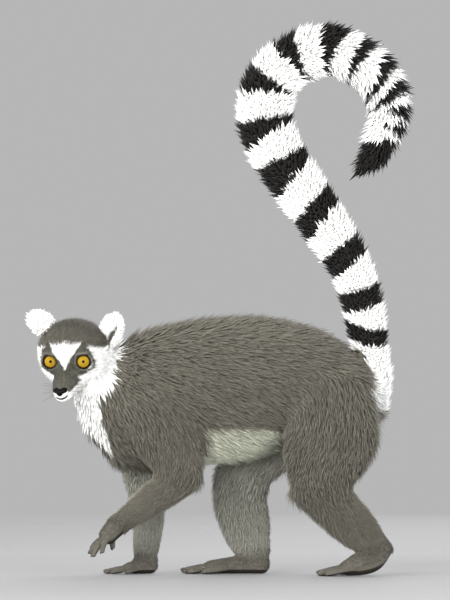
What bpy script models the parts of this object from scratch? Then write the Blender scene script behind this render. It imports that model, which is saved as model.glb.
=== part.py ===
"""A ring-tailed lemur walking on all fours, at life size, its tail raised in a hook and one hand lifted.

Units are metres and +Z is up. The animal faces -X and its left side faces -Y. Each piece has the outer
shape of the coat. A stretch of the body is a loft: elliptical rings along a smooth spine that runs through
a few stations. Where two pieces meet, one of them is cut by a copy of the other that is fuller by GAP, so
that they never overlap. The body is laid out around a point on the floor under the back, then moved so
that the origin is the middle of its footprint.
"""

import math
from collections import namedtuple

import bmesh
import bpy
from mathutils import Matrix, Vector

MM = 0.001
GAP = 0.3               # between neighbours, in millimetres like every size below

LEFT, RIGHT = -1, 1     # the sides of the body, as the sign of y
LABELS = {LEFT: "left", RIGHT: "right"}

FULL_DOME = (30, 60)    # the angles, in degrees, of the rings that round off an end that shows
PLAIN_DOME = (45,)      # and of the ring on an end that is small, or inside a neighbour
TRUNK_SIDES, NECK_SIDES, TAIL_SIDES, SKULL_SIDES, MUZZLE_SIDES = 20, 16, 12, 18, 12
LIMB_SIDES, PAW_SIDES, DIGIT_SIDES, EAR_SIDES, NOSE_SIDES = 12, 8, 6, 8, 8

# How far the dome on each end of a stretch stands out, as a share of the end's smaller half size
LIMB_ROUNDNESS = (0.8, 0.8)
TRUNK_ROUNDNESS = (0.6, 0.5)
SKULL_ROUNDNESS = (0.6, 0.3)
MUZZLE_ROUNDNESS = (0.6, 0.5)
DIGIT_ROUNDNESS = (0, 1.0)
TAIL_ROUNDNESS = (0.8, 1.2)

# Coat colours in linear light, and their roughness
Finish = namedtuple("Finish", "name colour roughness")
GREY = Finish("coat_grey", (0.150, 0.141, 0.117), 0.9)
PALE_GREY = Finish("coat_pale_grey", (0.185, 0.182, 0.160), 0.9)
WHITE = Finish("coat_white", (0.88, 0.88, 0.86), 0.9)
BLACK = Finish("coat_black", (0.014, 0.013, 0.012), 0.9)
AMBER = Finish("eye_amber", (0.60, 0.29, 0.02), 0.15)
NOSE_BLACK = Finish("nose_black", (0.008, 0.008, 0.008), 0.4)

# Stations: x, y, z, half depth in the plane of the body, half width across it
TRUNK = [
    (-116, 0, 188, 72, 44),
    (-82, 0, 193, 81, 52),
    (-28, 0, 201, 83, 58),
    (28, 0, 206, 81, 60),
    (66, 0, 210, 72, 58),
    (104, 0, 209, 62, 53),
    (137, 0, 202, 48, 44),
    (158, 0, 197, 34, 32),
]
NECK = [
    (-92, 0, 194, 60, 42),
    (-120, -4, 199, 60, 43),
    (-136, -11, 209, 39, 37),
    (-147, -18, 223, 32, 32),
]
TAIL = [
    (170, 0, 184, 12, 12),
    (168, 0, 217, 19, 19),
    (158, 1, 258, 24.5, 24),
    (151, 2, 300, 26.5, 26),
    (138, 3, 340, 27.5, 27),
    (114, 5, 380, 30, 29),
    (88.5, 7, 418, 32, 31),
    (62.5, 9, 456, 33.5, 33),
    (44.5, 10, 498, 34.5, 34),
    (51, 9, 540, 35, 34),
    (77.5, 7, 567, 33.5, 33),
    (112, 4, 577.5, 33.5, 33),
    (144, 0, 567.5, 32, 32),
    (169, -3, 545, 31, 30.5),
    (180, -6, 514.5, 28.5, 28.5),
    (175, -8, 486, 25, 25),
    (162, -10, 461, 22, 21),
    (146, -12, 443, 11, 11),
]
TAIL_CUTS = (0, 4, 7, 9, 12, 17)  # the stations between which each length of the tail runs

THIGH = {
    LEFT: [
        (122, -32, 208, 50, 27),
        (117, -39, 160, 55.5, 29),
        (108, -44, 128, 48, 26),
        (101, -46, 105, 36, 22),
    ],
    RIGHT: [
        (106, 32, 206, 50, 27),
        (70, 39, 168, 47, 27),
        (34, 45, 130, 36, 24),
        (20, 46, 110, 31, 21),
    ],
}
SHANK = {
    LEFT: [
        (101, -46, 105, 38, 24),
        (121.5, -46, 75, 28, 19),
        (144, -44, 52.5, 24.5, 16),
        (163, -42, 34.5, 17, 12.5),
    ],
    RIGHT: [
        (19, 46, 108, 33, 23),
        (17, 46, 80, 31, 20),
        (24, 45, 48, 27, 17),
        (32.5, 43, 22, 19, 12.5),
    ],
}
UPPER_ARM = {
    LEFT: [(-78, -31, 192, 40, 21), (-62, -38, 152, 38, 21), (-48, -43, 118, 28, 18)],
    RIGHT: [(-88, 31, 186, 38, 21), (-94, 37, 143, 33, 21), (-89, 39, 108, 22, 17)],
}
FOREARM = {
    LEFT: [
        (-44, -43, 116, 27, 20),
        (-66, -43, 95, 21, 17),
        (-96, -41, 72, 15.5, 13),
        (-119, -38, 54.7, 11, 10.5),
    ],
    RIGHT: [
        (-88, 39, 106, 24, 19),
        (-85, 38, 62, 18.5, 15),
        (-87, 36, 30, 15, 12.5),
        (-88, 36, 14, 12, 11),
    ],
}

# Hands and feet: the palm or sole from wrist or heel to ball. The planted ones dip a little below the floor,
# where they are cut flat.
PALM = {
    LEFT: [(-117, -38, 56, 11, 11.5), (-124, -37.5, 49, 11.5, 12.5), (-129, -37, 43, 10.5, 12.5)],
    RIGHT: [(-82, 36, 9.5, 10.5, 12), (-94, 36, 8, 9.5, 13), (-106, 36, 6.5, 7, 12.5)],
}
SOLE = {
    LEFT: [
        (174, -42, 31, 12, 13.5),
        (162, -42, 18, 14, 13),
        (147, -42, 13, 13.5, 12.5),
        (133, -42, 8.5, 9, 13),
    ],
    RIGHT: [
        (40, 42, 11, 13, 13.5),
        (24, 42, 10.5, 12, 13),
        (0, 42, 8.5, 9.5, 12.5),
        (-16, 42, 7.5, 8, 13),
    ],
}
# Each digit, thumb first: how far its root is ahead of the ball and towards the inner side, its length, its
# turn to the inner side in degrees, and its half thickness
Digit = namedtuple("Digit", "ahead inward length turn thick")
HAND_DIGITS = [
    Digit(-9.5, 9, 19, 48, 3.9),
    Digit(0, 8, 20, 14, 3.9),
    Digit(2, 2.8, 23, 4, 4.0),
    Digit(1, -2.8, 24, -7, 4.0),
    Digit(-3, -8.5, 20, -20, 3.6),
]
FOOT_DIGITS = [
    Digit(-18, 10, 31, 38, 5.6),
    Digit(0, 8.5, 23, 12, 4.8),
    Digit(2, 3, 26, 3, 4.9),
    Digit(1, -3, 28, -6, 4.9),
    Digit(-3, -9, 25, -15, 4.5),
]
DIGIT_JOINTS = ((0.4, 1.0), (0.75, 0.9), (1.0, 0.8))  # share of the length, share of the thickness
DIGIT_ROOT_DEPTH = 5    # how far a digit begins inside the palm or sole
PAD_DIP = 0.7           # how far the fingertips of a planted hand or foot reach below the floor
LIFTED_SLOPE = 50       # degrees that the lifted hand's palm points below level
LIFTED_DROOPS = (80, 26, 34, 44, 58)  # degrees that its fingers do, thumb first
LIFTED_CURL = 10        # degrees that each of their joints adds

# The head has its own frame: x to the animal's right, y forward, z up, from midway between the eyes
HEAD_PLACE = (-171, -45, 238)
HEAD_TURN = 70          # degrees from straight ahead towards its left
HEAD_NOD = 27           # degrees that the muzzle points below level
Slice = namedtuple("Slice", "forward top bottom half_width")
SKULL = [
    Slice(-50, 20, -15, 21),
    Slice(-41, 29, -30, 32.5),
    Slice(-30, 35, -39, 41),
    Slice(-17, 38.5, -43, 42.5),
    Slice(-5, 36, -42, 38.5),
    Slice(1, 30, -38, 33),
    Slice(6, 21, -33, 26),
]
MUZZLE = [
    Slice(-8, 6, -38, 21),
    Slice(6, 3, -38, 18.5),
    Slice(15, -2, -37.5, 16.5),
    Slice(25, -7, -37, 14.5),
    Slice(34, -12, -35.5, 11.5),
    Slice(39, -15, -33, 8.5),
]
EYE_SPACING, EYE_FORWARD, EYE_RADIUS = 38.5, 6.5, 8.8
NOSE = [(0, 35, -19, 4.2, 5.6), (0, 40.5, -19.5, 4.8, 7.0), (0, 44, -20, 3.2, 4.8)]
# The ears, each turned its own way: the root's place, where the ear points, and the direction of its width
EarPose = namedtuple("EarPose", "root pointing across")
EAR_POSES = {
    LEFT: EarPose((-36, -32, 5), (-0.35, -0.20, 0.90), (-0.90, -0.30, -0.40)),
    RIGHT: EarPose((26, -25, 22), (0.45, 0.35, 0.79), (0.62, 0.40, -0.64)),
}
# The ear: how far along, half width, half thickness
EAR = [(-6, 10, 7), (6, 14, 7), (17, 15.5, 6), (26, 13, 4.5), (32, 8, 3)]
EAR_HOLLOW = [(5, 5, 4), (12, 9.5, 6), (20, 9.5, 4.5), (27, 6, 2.5)]
EAR_HOLLOW_FORWARD = 6.5

Ring = namedtuple("Ring", "centre ahead side down depth width")
MATERIALS = {}


def clear_scene():
    for thing in list(bpy.data.objects):
        bpy.data.objects.remove(thing)


def material(finish):
    """The Principled material of a finish, made once."""
    if finish.name not in MATERIALS:
        made = bpy.data.materials.new(finish.name)
        made.use_nodes = True
        shader = made.node_tree.nodes["Principled BSDF"]
        shader.inputs["Base Color"].default_value = (*finish.colour, 1)
        shader.inputs["Roughness"].default_value = finish.roughness
        MATERIALS[finish.name] = made
    return MATERIALS[finish.name]


def smooth_curve(stations, steps):
    """A Catmull-Rom curve through stations of any number of values, with so many steps between them."""
    rows = [Vector(station) for station in stations]
    rows = [2 * rows[0] - rows[1], *rows, 2 * rows[-1] - rows[-2]]
    points = []
    for before, here, there, after in zip(rows, rows[1:], rows[2:], rows[3:]):
        for step in range(steps):
            t = step / steps
            point = 2 * here + (there - before) * t
            point += (2 * before - 5 * here + 4 * there - after) * t**2
            point += (3 * here - before - 3 * there + after) * t**3
            points.append(point / 2)
    return [*points, rows[-2]]


def rings_along(stations, steps, across=(0, 1, 0), square_to=None, grow=0.0):
    """Rings along the smooth spine through the stations, whose width lies as near as can be to across.

    They are square to the spine, or all of them to one direction where it is given.
    """
    points = smooth_curve(stations, steps)
    centres = [Vector(point[:3]) for point in points]
    rings = []
    for i, point in enumerate(points):
        along = centres[min(i + 1, len(centres) - 1)] - centres[max(i - 1, 0)]
        ahead = Vector(square_to or along).normalized()
        side = Vector(across)
        side = (side - side.dot(ahead) * ahead).normalized()
        rings.append(Ring(centres[i], ahead, side, ahead.cross(side), point[3] + grow, point[4] + grow))
    return rings


def dome(ring, roundness, outwards, angles):
    """The rings that round off an end, from its own outwards, and the dome's tip."""
    height = ring.ahead * (min(ring.depth, ring.width) * roundness * outwards)
    rings = []
    for angle in map(math.radians, angles):
        centre = ring.centre + height * math.sin(angle)
        shrunk = math.cos(angle)
        rings.append(ring._replace(centre=centre, depth=ring.depth * shrunk, width=ring.width * shrunk))
    return rings, ring.centre + height


def close_rings(rings, sides, roundness, angles=PLAIN_DOME):
    """A closed mesh over the rings. Each end has a dome of its roundness, or is flat where that is 0."""
    tips = [rings[0].centre, rings[-1].centre]
    if roundness[0]:
        cap, tips[0] = dome(rings[0], roundness[0], -1, angles)
        rings = [*reversed(cap), *rings]
    if roundness[1]:
        cap, tips[1] = dome(rings[-1], roundness[1], 1, angles)
        rings = [*rings, *cap]
    mesh = bmesh.new()
    loops = []
    for ring in rings:
        loop = []
        for angle in (math.tau * i / sides for i in range(sides)):
            offset = ring.side * ring.width * math.cos(angle) + ring.down * ring.depth * math.sin(angle)
            loop.append(mesh.verts.new((ring.centre + offset) * MM))
        loops.append(loop)
    for near, far in zip(loops, loops[1:]):
        for i in range(sides):
            mesh.faces.new((near[i - 1], near[i], far[i]))
            mesh.faces.new((near[i - 1], far[i], far[i - 1]))
    for tip, loop in zip(tips, (loops[0], loops[-1])):
        pole = mesh.verts.new(tip * MM)
        for i in range(sides):
            mesh.faces.new((loop[i - 1], loop[i], pole))
    bmesh.ops.recalc_face_normals(mesh, faces=mesh.faces)
    return mesh


def loft(stations, sides, roundness=LIMB_ROUNDNESS, angles=PLAIN_DOME, steps=2, **placing):
    """A stretch of the body with domed ends."""
    return close_rings(rings_along(stations, steps, **placing), sides, roundness, angles)


def ball_mesh(centre, radius, segments=12, rings=8):
    mesh = bmesh.new()
    bmesh.ops.create_uvsphere(mesh, u_segments=segments, v_segments=rings, radius=radius * MM)
    bmesh.ops.translate(mesh, vec=Vector(centre) * MM, verts=mesh.verts)
    return mesh


def add(name, mesh, finish, parent=None):
    """An object with smooth faces from a bmesh."""
    data = bpy.data.meshes.new(name)
    mesh.to_mesh(data)
    mesh.free()
    data.shade_smooth()
    thing = bpy.data.objects.new(name, data)
    bpy.context.scene.collection.objects.link(thing)
    thing.parent = parent
    if finish:
        data.materials.append(material(finish))
    return thing


def tool(name, mesh, parent=None):
    """A shape that only cuts others or is joined to them."""
    thing = add("tool_" + name, mesh, None, parent)
    thing.hide_render = True
    thing.display_type = "WIRE"
    return thing


def apply_tools(thing, *tools, operation="DIFFERENCE"):
    for other in tools:
        step = thing.modifiers.new(other.name, "BOOLEAN")
        step.operation = operation
        step.solver = "EXACT"
        step.object = other


def floor_tool():
    """A block with the floor as its top."""
    mesh = bmesh.new()
    bmesh.ops.create_cube(mesh, size=1)
    bmesh.ops.translate(mesh, vec=(0, 0, -0.5), verts=mesh.verts)
    return tool("floor", mesh)


def digit_mesh(digit, side, ball, droop):
    """One finger or toe. One of the lifted hand droops and curls, and others slope to the floor."""
    turn = math.radians(digit.turn)
    root = Vector((-digit.ahead, -side * digit.inward, 0))
    heading = Vector((-math.cos(turn), -side * math.sin(turn), 0))
    across = Vector((0, 0, 1)).cross(heading)
    if droop is None:
        root += Vector(ball)
        fall = (root.z - digit.thick * DIGIT_JOINTS[-1][1] + PAD_DIP) / digit.length
        directions = [heading - Vector((0, 0, fall))] * len(DIGIT_JOINTS)
    else:
        root = Matrix.Rotation(math.radians(-LIFTED_SLOPE), 3, "Y") @ root + Vector(ball)
        bends = (droop + LIFTED_CURL * joint for joint in range(len(DIGIT_JOINTS)))
        directions = [Matrix.Rotation(math.radians(bend), 3, across) @ heading for bend in bends]
    stations = [(*(root - directions[0] * DIGIT_ROOT_DEPTH), digit.thick, digit.thick)]
    at, done = root, 0
    for direction, (share, slim) in zip(directions, DIGIT_JOINTS):
        at = at + direction * digit.length * (share - done)
        done = share
        stations.append((*at, digit.thick * slim, digit.thick * slim))
    return loft(stations, DIGIT_SIDES, steps=1, across=across, roundness=DIGIT_ROUNDNESS)


def make_paw(name, stations, digits, side, floor):
    """A hand or foot: its palm or sole with five digits, flat on the floor, and its cutting tool."""
    paw = add(name, loft(stations, PAW_SIDES, steps=1, angles=FULL_DOME), PALE_GREY)
    droops = [None] * len(digits) if floor else LIFTED_DROOPS
    for number, (digit, droop) in enumerate(zip(digits, droops), 1):
        mesh = digit_mesh(digit, side, stations[-1][:3], droop)
        apply_tools(paw, tool(f"{name}_digit_{number}", mesh), operation="UNION")
    if floor:
        apply_tools(paw, floor)
    return tool(name, loft(stations, PAW_SIDES, steps=1, grow=GAP, angles=FULL_DOME))


def make_leg(side, names, upper, lower, paw_tool):
    """The two stretches of a leg, each cut where the next begins, and the tool for the body beside it."""
    upper_name, lower_name = (f"{name}_{LABELS[side]}" for name in names)
    top = add(upper_name, loft(upper, LIMB_SIDES), GREY)
    apply_tools(top, tool(lower_name, loft(lower, LIMB_SIDES, grow=GAP)))
    apply_tools(add(lower_name, loft(lower, LIMB_SIDES), GREY), paw_tool)
    return tool(upper_name, loft(upper, LIMB_SIDES, grow=GAP))


def make_legs():
    """All four legs. Returns the tools of the thighs and of the upper arms."""
    floor = floor_tool()
    thighs, arms = [], []
    for side, label in LABELS.items():
        sole = make_paw(f"foot_{label}", SOLE[side], FOOT_DIGITS, side, floor)
        thighs.append(make_leg(side, ("thigh", "shank"), THIGH[side], SHANK[side], sole))
        palm = make_paw(f"hand_{label}", PALM[side], HAND_DIGITS, side, floor if side == RIGHT else None)
        arms.append(make_leg(side, ("upper_arm", "forearm"), UPPER_ARM[side], FOREARM[side], palm))
    return thighs, arms


def head_frame():
    """An empty that places and turns the head."""
    frame = bpy.data.objects.new("head_frame", None)
    bpy.context.scene.collection.objects.link(frame)
    frame.location = Vector(HEAD_PLACE) * MM
    ahead_to_minus_x = 90
    turn = Matrix.Rotation(math.radians(ahead_to_minus_x + HEAD_TURN), 4, "Z")
    nod = Matrix.Rotation(math.radians(-HEAD_NOD), 4, "X")
    frame.rotation_euler = (turn @ nod).to_euler()
    return frame


def head_mesh(slices, sides, steps, roundness, grow=0.0):
    """The skull with its cheeks, or the muzzle, as a loft from back to front."""
    stations = []
    for cut in slices:
        middle, half_depth = (cut.top + cut.bottom) / 2, (cut.top - cut.bottom) / 2
        stations.append((0, cut.forward, middle, half_depth, cut.half_width))
    placing = dict(across=(1, 0, 0), square_to=(0, 1, 0), grow=grow)
    return loft(stations, sides, roundness, FULL_DOME, steps, **placing)


def ear_mesh(side, outline, forward=0.0, grow=0.0):
    """The outer shape of an ear, or the hollow in front of it."""
    pose = EAR_POSES[side]
    pointing = Vector(pose.pointing).normalized()
    across = Vector(pose.across)
    across = (across - across.dot(pointing) * pointing).normalized()
    facing = side * pointing.cross(across)
    stations = []
    for along, half_width, half_thick in outline:
        stations.append((*(Vector(pose.root) + pointing * along + facing * forward), half_thick, half_width))
    return loft(stations, EAR_SIDES, steps=1, across=across, grow=grow)


def make_head():
    """The head with its eyes, nose and ears. Returns the tools of the head and ears."""
    frame = head_frame()
    skull = (SKULL, SKULL_SIDES, 2, SKULL_ROUNDNESS)
    muzzle = (MUZZLE, MUZZLE_SIDES, 1, MUZZLE_ROUNDNESS)
    head = add("head", head_mesh(*skull), WHITE, frame)
    apply_tools(head, tool("muzzle", head_mesh(*muzzle), frame), operation="UNION")
    tools = [
        tool("skull_and_gap", head_mesh(*skull, grow=GAP), frame),
        tool("muzzle_and_gap", head_mesh(*muzzle, grow=GAP), frame),
    ]
    for side, label in LABELS.items():
        centre = (side * EYE_SPACING / 2, EYE_FORWARD, 0)
        add(f"eye_{label}", ball_mesh(centre, EYE_RADIUS), AMBER, frame)
        apply_tools(head, tool(f"socket_{label}", ball_mesh(centre, EYE_RADIUS + GAP), frame))
        ear = add(f"ear_{label}", ear_mesh(side, EAR), WHITE, frame)
        apply_tools(ear, tool(f"ear_hollow_{label}", ear_mesh(side, EAR_HOLLOW, EAR_HOLLOW_FORWARD), frame))
        tools.append(tool(f"ear_{label}", ear_mesh(side, EAR, grow=GAP), frame))
    add("nose", loft(NOSE, NOSE_SIDES, steps=1, across=(1, 0, 0)), NOSE_BLACK, frame)
    nose = tool("nose", loft(NOSE, NOSE_SIDES, steps=1, across=(1, 0, 0), grow=GAP), frame)
    apply_tools(head, *tools[2:], nose)
    return tools


def make_tail(trunk_tool):
    """Five lengths that meet at flat ends. The first one starts in the rump."""
    steps = 2
    rings = rings_along(TAIL, steps)
    for number, (first, last) in enumerate(zip(TAIL_CUTS, TAIL_CUTS[1:]), 1):
        length = rings[first * steps : last * steps + 1]
        is_root, is_tip = first == 0, last == TAIL_CUTS[-1]
        if not is_root:
            length[0] = length[0]._replace(centre=length[0].centre + length[0].ahead * GAP / 2)
        if not is_tip:
            length[-1] = length[-1]._replace(centre=length[-1].centre - length[-1].ahead * GAP / 2)
        roundness = (TAIL_ROUNDNESS[0] if is_root else 0, TAIL_ROUNDNESS[1] if is_tip else 0)
        mesh = close_rings(length, TAIL_SIDES, roundness, FULL_DOME)
        piece = add(f"tail_{number}", mesh, BLACK if is_tip else WHITE)
        if is_root:
            apply_tools(piece, trunk_tool)


def make_body():
    """The whole animal, around the layout's own point on the floor."""
    head_tools = make_head()
    thigh_tools, arm_tools = make_legs()
    form = dict(roundness=TRUNK_ROUNDNESS, angles=FULL_DOME, square_to=(1, 0, 0))
    trunk = add("trunk", loft(TRUNK, TRUNK_SIDES, **form), GREY)
    apply_tools(trunk, *thigh_tools, *arm_tools, *head_tools)
    trunk_tool = tool("trunk", loft(TRUNK, TRUNK_SIDES, grow=GAP, **form))
    neck = add("neck", loft(NECK, NECK_SIDES), GREY)
    apply_tools(neck, trunk_tool, *head_tools, *arm_tools)
    make_tail(trunk_tool)


def centre_on_origin():
    """Moves the animal along the floor until the origin is the middle of its footprint's box."""
    bpy.context.view_layer.update()
    graph = bpy.context.evaluated_depsgraph_get()
    corners = []
    for thing in bpy.context.scene.objects:
        if thing.type == "MESH" and not thing.hide_render:
            shape = thing.evaluated_get(graph)
            corners += [shape.matrix_world @ vertex.co for vertex in shape.to_mesh().vertices]
            shape.to_mesh_clear()
    for axis in (0, 1):
        reach = [corner[axis] for corner in corners]
        middle = (min(reach) + max(reach)) / 2
        for thing in bpy.context.scene.objects:
            if thing.parent is None:
                thing.location[axis] -= middle


clear_scene()
make_body()
centre_on_origin()
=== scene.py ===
"""The looks of a life-size ring-tailed lemur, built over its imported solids.

One skin stands for all the solids of flesh. It is the zero level of a field, in which every stretch of the
body is a loft of elliptical rings along a smooth spine, thinner than its solid by the depth of the coat.
Geometry Nodes then plant tufts on the skin, each lying the way the coat lies at its root. Marks on the
coat are measured on the skin, in millimetres from their edges, so skin and tufts carry the same ones.

Lengths in the tables are millimetres in the body's own layout, as in the solids: +Z up, nose towards -X,
left side towards -Y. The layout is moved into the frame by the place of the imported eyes.
"""

from __future__ import annotations

import logging
import math
from dataclasses import dataclass, field
from enum import Enum
from functools import cached_property

import bmesh
import bpy
import numpy as np
from mathutils import Matrix, Vector


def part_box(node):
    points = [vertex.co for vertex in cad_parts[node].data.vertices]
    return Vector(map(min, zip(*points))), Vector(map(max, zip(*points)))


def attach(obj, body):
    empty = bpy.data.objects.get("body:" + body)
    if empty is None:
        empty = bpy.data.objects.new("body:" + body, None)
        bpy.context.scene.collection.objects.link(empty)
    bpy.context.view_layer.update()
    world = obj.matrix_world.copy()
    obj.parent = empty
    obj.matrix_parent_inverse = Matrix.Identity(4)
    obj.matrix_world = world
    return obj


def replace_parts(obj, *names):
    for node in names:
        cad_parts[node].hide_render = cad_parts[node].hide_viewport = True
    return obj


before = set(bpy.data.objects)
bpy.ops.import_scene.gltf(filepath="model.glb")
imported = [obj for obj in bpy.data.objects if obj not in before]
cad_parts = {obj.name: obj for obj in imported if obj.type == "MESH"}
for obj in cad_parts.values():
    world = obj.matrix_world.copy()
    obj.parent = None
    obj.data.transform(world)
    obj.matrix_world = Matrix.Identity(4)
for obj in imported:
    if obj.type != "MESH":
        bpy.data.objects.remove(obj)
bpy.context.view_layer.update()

LOG = logging.getLogger("lemur")
Array = np.ndarray
Pair = tuple[float, float]
Triple = tuple[float, float, float]
Row = tuple[float, ...]
Rows = tuple[Row, ...]
Colour = Triple
Mesh = bpy.types.Mesh
Object = bpy.types.Object
Material = bpy.types.Material
Tree = bpy.types.NodeTree
Node = bpy.types.Node
Socket = bpy.types.NodeSocket
MM = 0.001
BODY = "root"
X_WAY = (1.0, 0.0, 0.0)
Y_WAY = (0.0, 1.0, 0.0)
UP = (0.0, 0.0, 1.0)
THINNEST = 1.2           # the least half size of a ring of skin


class Side(Enum):
    """The sides of the body, as the sign of y."""

    LEFT = -1
    RIGHT = 1

    @property
    def label(self) -> str:
        """The side's name as the solids spell it."""
        return self.name.lower()

    def mirrored(self, rows: tuple) -> Array:
        """Points of the head's right side, as they lie on this side."""
        return np.array(rows, float) * [self.value, 1, 1]


# -------- numbers


def smooth_curve(stations: Array, steps: int) -> Array:
    """Runs a Catmull-Rom curve through stations.

    Args:
        stations: One row of values for each station.
        steps: How many steps there are from each station to the next.

    Returns:
        The rows along the curve.
    """
    rows = np.vstack([2 * stations[0] - stations[1], stations, 2 * stations[-1] - stations[-2]])
    share = (np.arange(steps) / steps)[:, None]
    stretches = []
    for before, here, there, after in zip(rows, rows[1:], rows[2:], rows[3:]):
        bend = 2 * before - 5 * here + 4 * there - after
        twist = 3 * here - before - 3 * there + after
        stretches.append((2 * here + (there - before) * share + bend * share**2 + twist * share**3) / 2)
    return np.vstack([*stretches, rows[-2]])


def unit(vectors: Array) -> Array:
    """Vectors of length one, along the last axis."""
    return vectors / np.maximum(np.linalg.norm(vectors, axis=-1, keepdims=True), 1e-9)


def smooth_join(one: Array, other: Array, softness: float) -> Array:
    """The union of two fields, with a fillet about as wide as the softness."""
    share = np.clip(0.5 + 0.5 * (other - one) / softness, 0, 1)
    return other + (one - other) * share - softness * share * (1 - share)


def smooth_cut(field_values: Array, cutter: Array, softness: float) -> Array:
    """A field less a cutter's inside, with a rounded rim."""
    return -smooth_join(-field_values, cutter, softness)


def polygon_depth(x: Array, y: Array, outline: Rows) -> Array:
    """How far points lie inside a closed outline, negative outside.

    Args:
        x: The points' first coordinate.
        y: Their second coordinate.
        outline: The corners, in order.

    Returns:
        One distance for each point.
    """
    nearest = np.full(x.shape, np.inf)
    inside = np.zeros(x.shape, bool)
    for (x0, y0), (x1, y1) in zip(outline, (*outline[1:], outline[0])):
        dx, dy = x1 - x0, y1 - y0
        share = np.clip(((x - x0) * dx + (y - y0) * dy) / (dx * dx + dy * dy), 0, 1)
        nearest = np.minimum(nearest, np.hypot(x - x0 - share * dx, y - y0 - share * dy))
        if dy:
            inside ^= ((y0 > y) != (y1 > y)) & (x < dx * (y - y0) / dy + x0)
    return np.where(inside, nearest, -nearest)


# -------- the head's own frame


@dataclass(frozen=True)
class HeadFrame:
    """The head's place and turn: x to the animal's right, y forward, z up, from midway between the eyes.

    Attributes:
        place: Its origin in the layout.
        turn: Degrees from straight ahead towards the animal's left.
        nod: Degrees that the muzzle points below level.
    """

    place: Triple = (-171, -45, 238)
    turn: float = 70
    nod: float = 27

    @cached_property
    def axes(self) -> Array:
        """Its right, forward and up as columns."""
        ahead_to_minus_x = 90
        turn = Matrix.Rotation(math.radians(ahead_to_minus_x + self.turn), 3, "Z")
        nod = Matrix.Rotation(math.radians(-self.nod), 3, "X")
        return np.array(turn @ nod)

    def inward(self, points: Array) -> Array:
        """Points of the layout as the head sees them."""
        return (points - np.array(self.place)) @ self.axes

    def outward(self, points: Array) -> Array:
        """Points of the head in the layout."""
        return points @ self.axes.T + np.array(self.place)


HEAD = HeadFrame()


# -------- stretches of the body


@dataclass
class Reading:
    """What a stretch says about some points: one value or row for each.

    Attributes:
        distance: From its skin, negative inside.
        along: Millimetres along its spine.
        angle: Turns round its spine, from 0 to 1.
        ahead: The spine's direction there.
        coat: The depth of the coat there.
    """

    distance: Array
    along: Array
    angle: Array
    ahead: Array
    coat: Array


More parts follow.
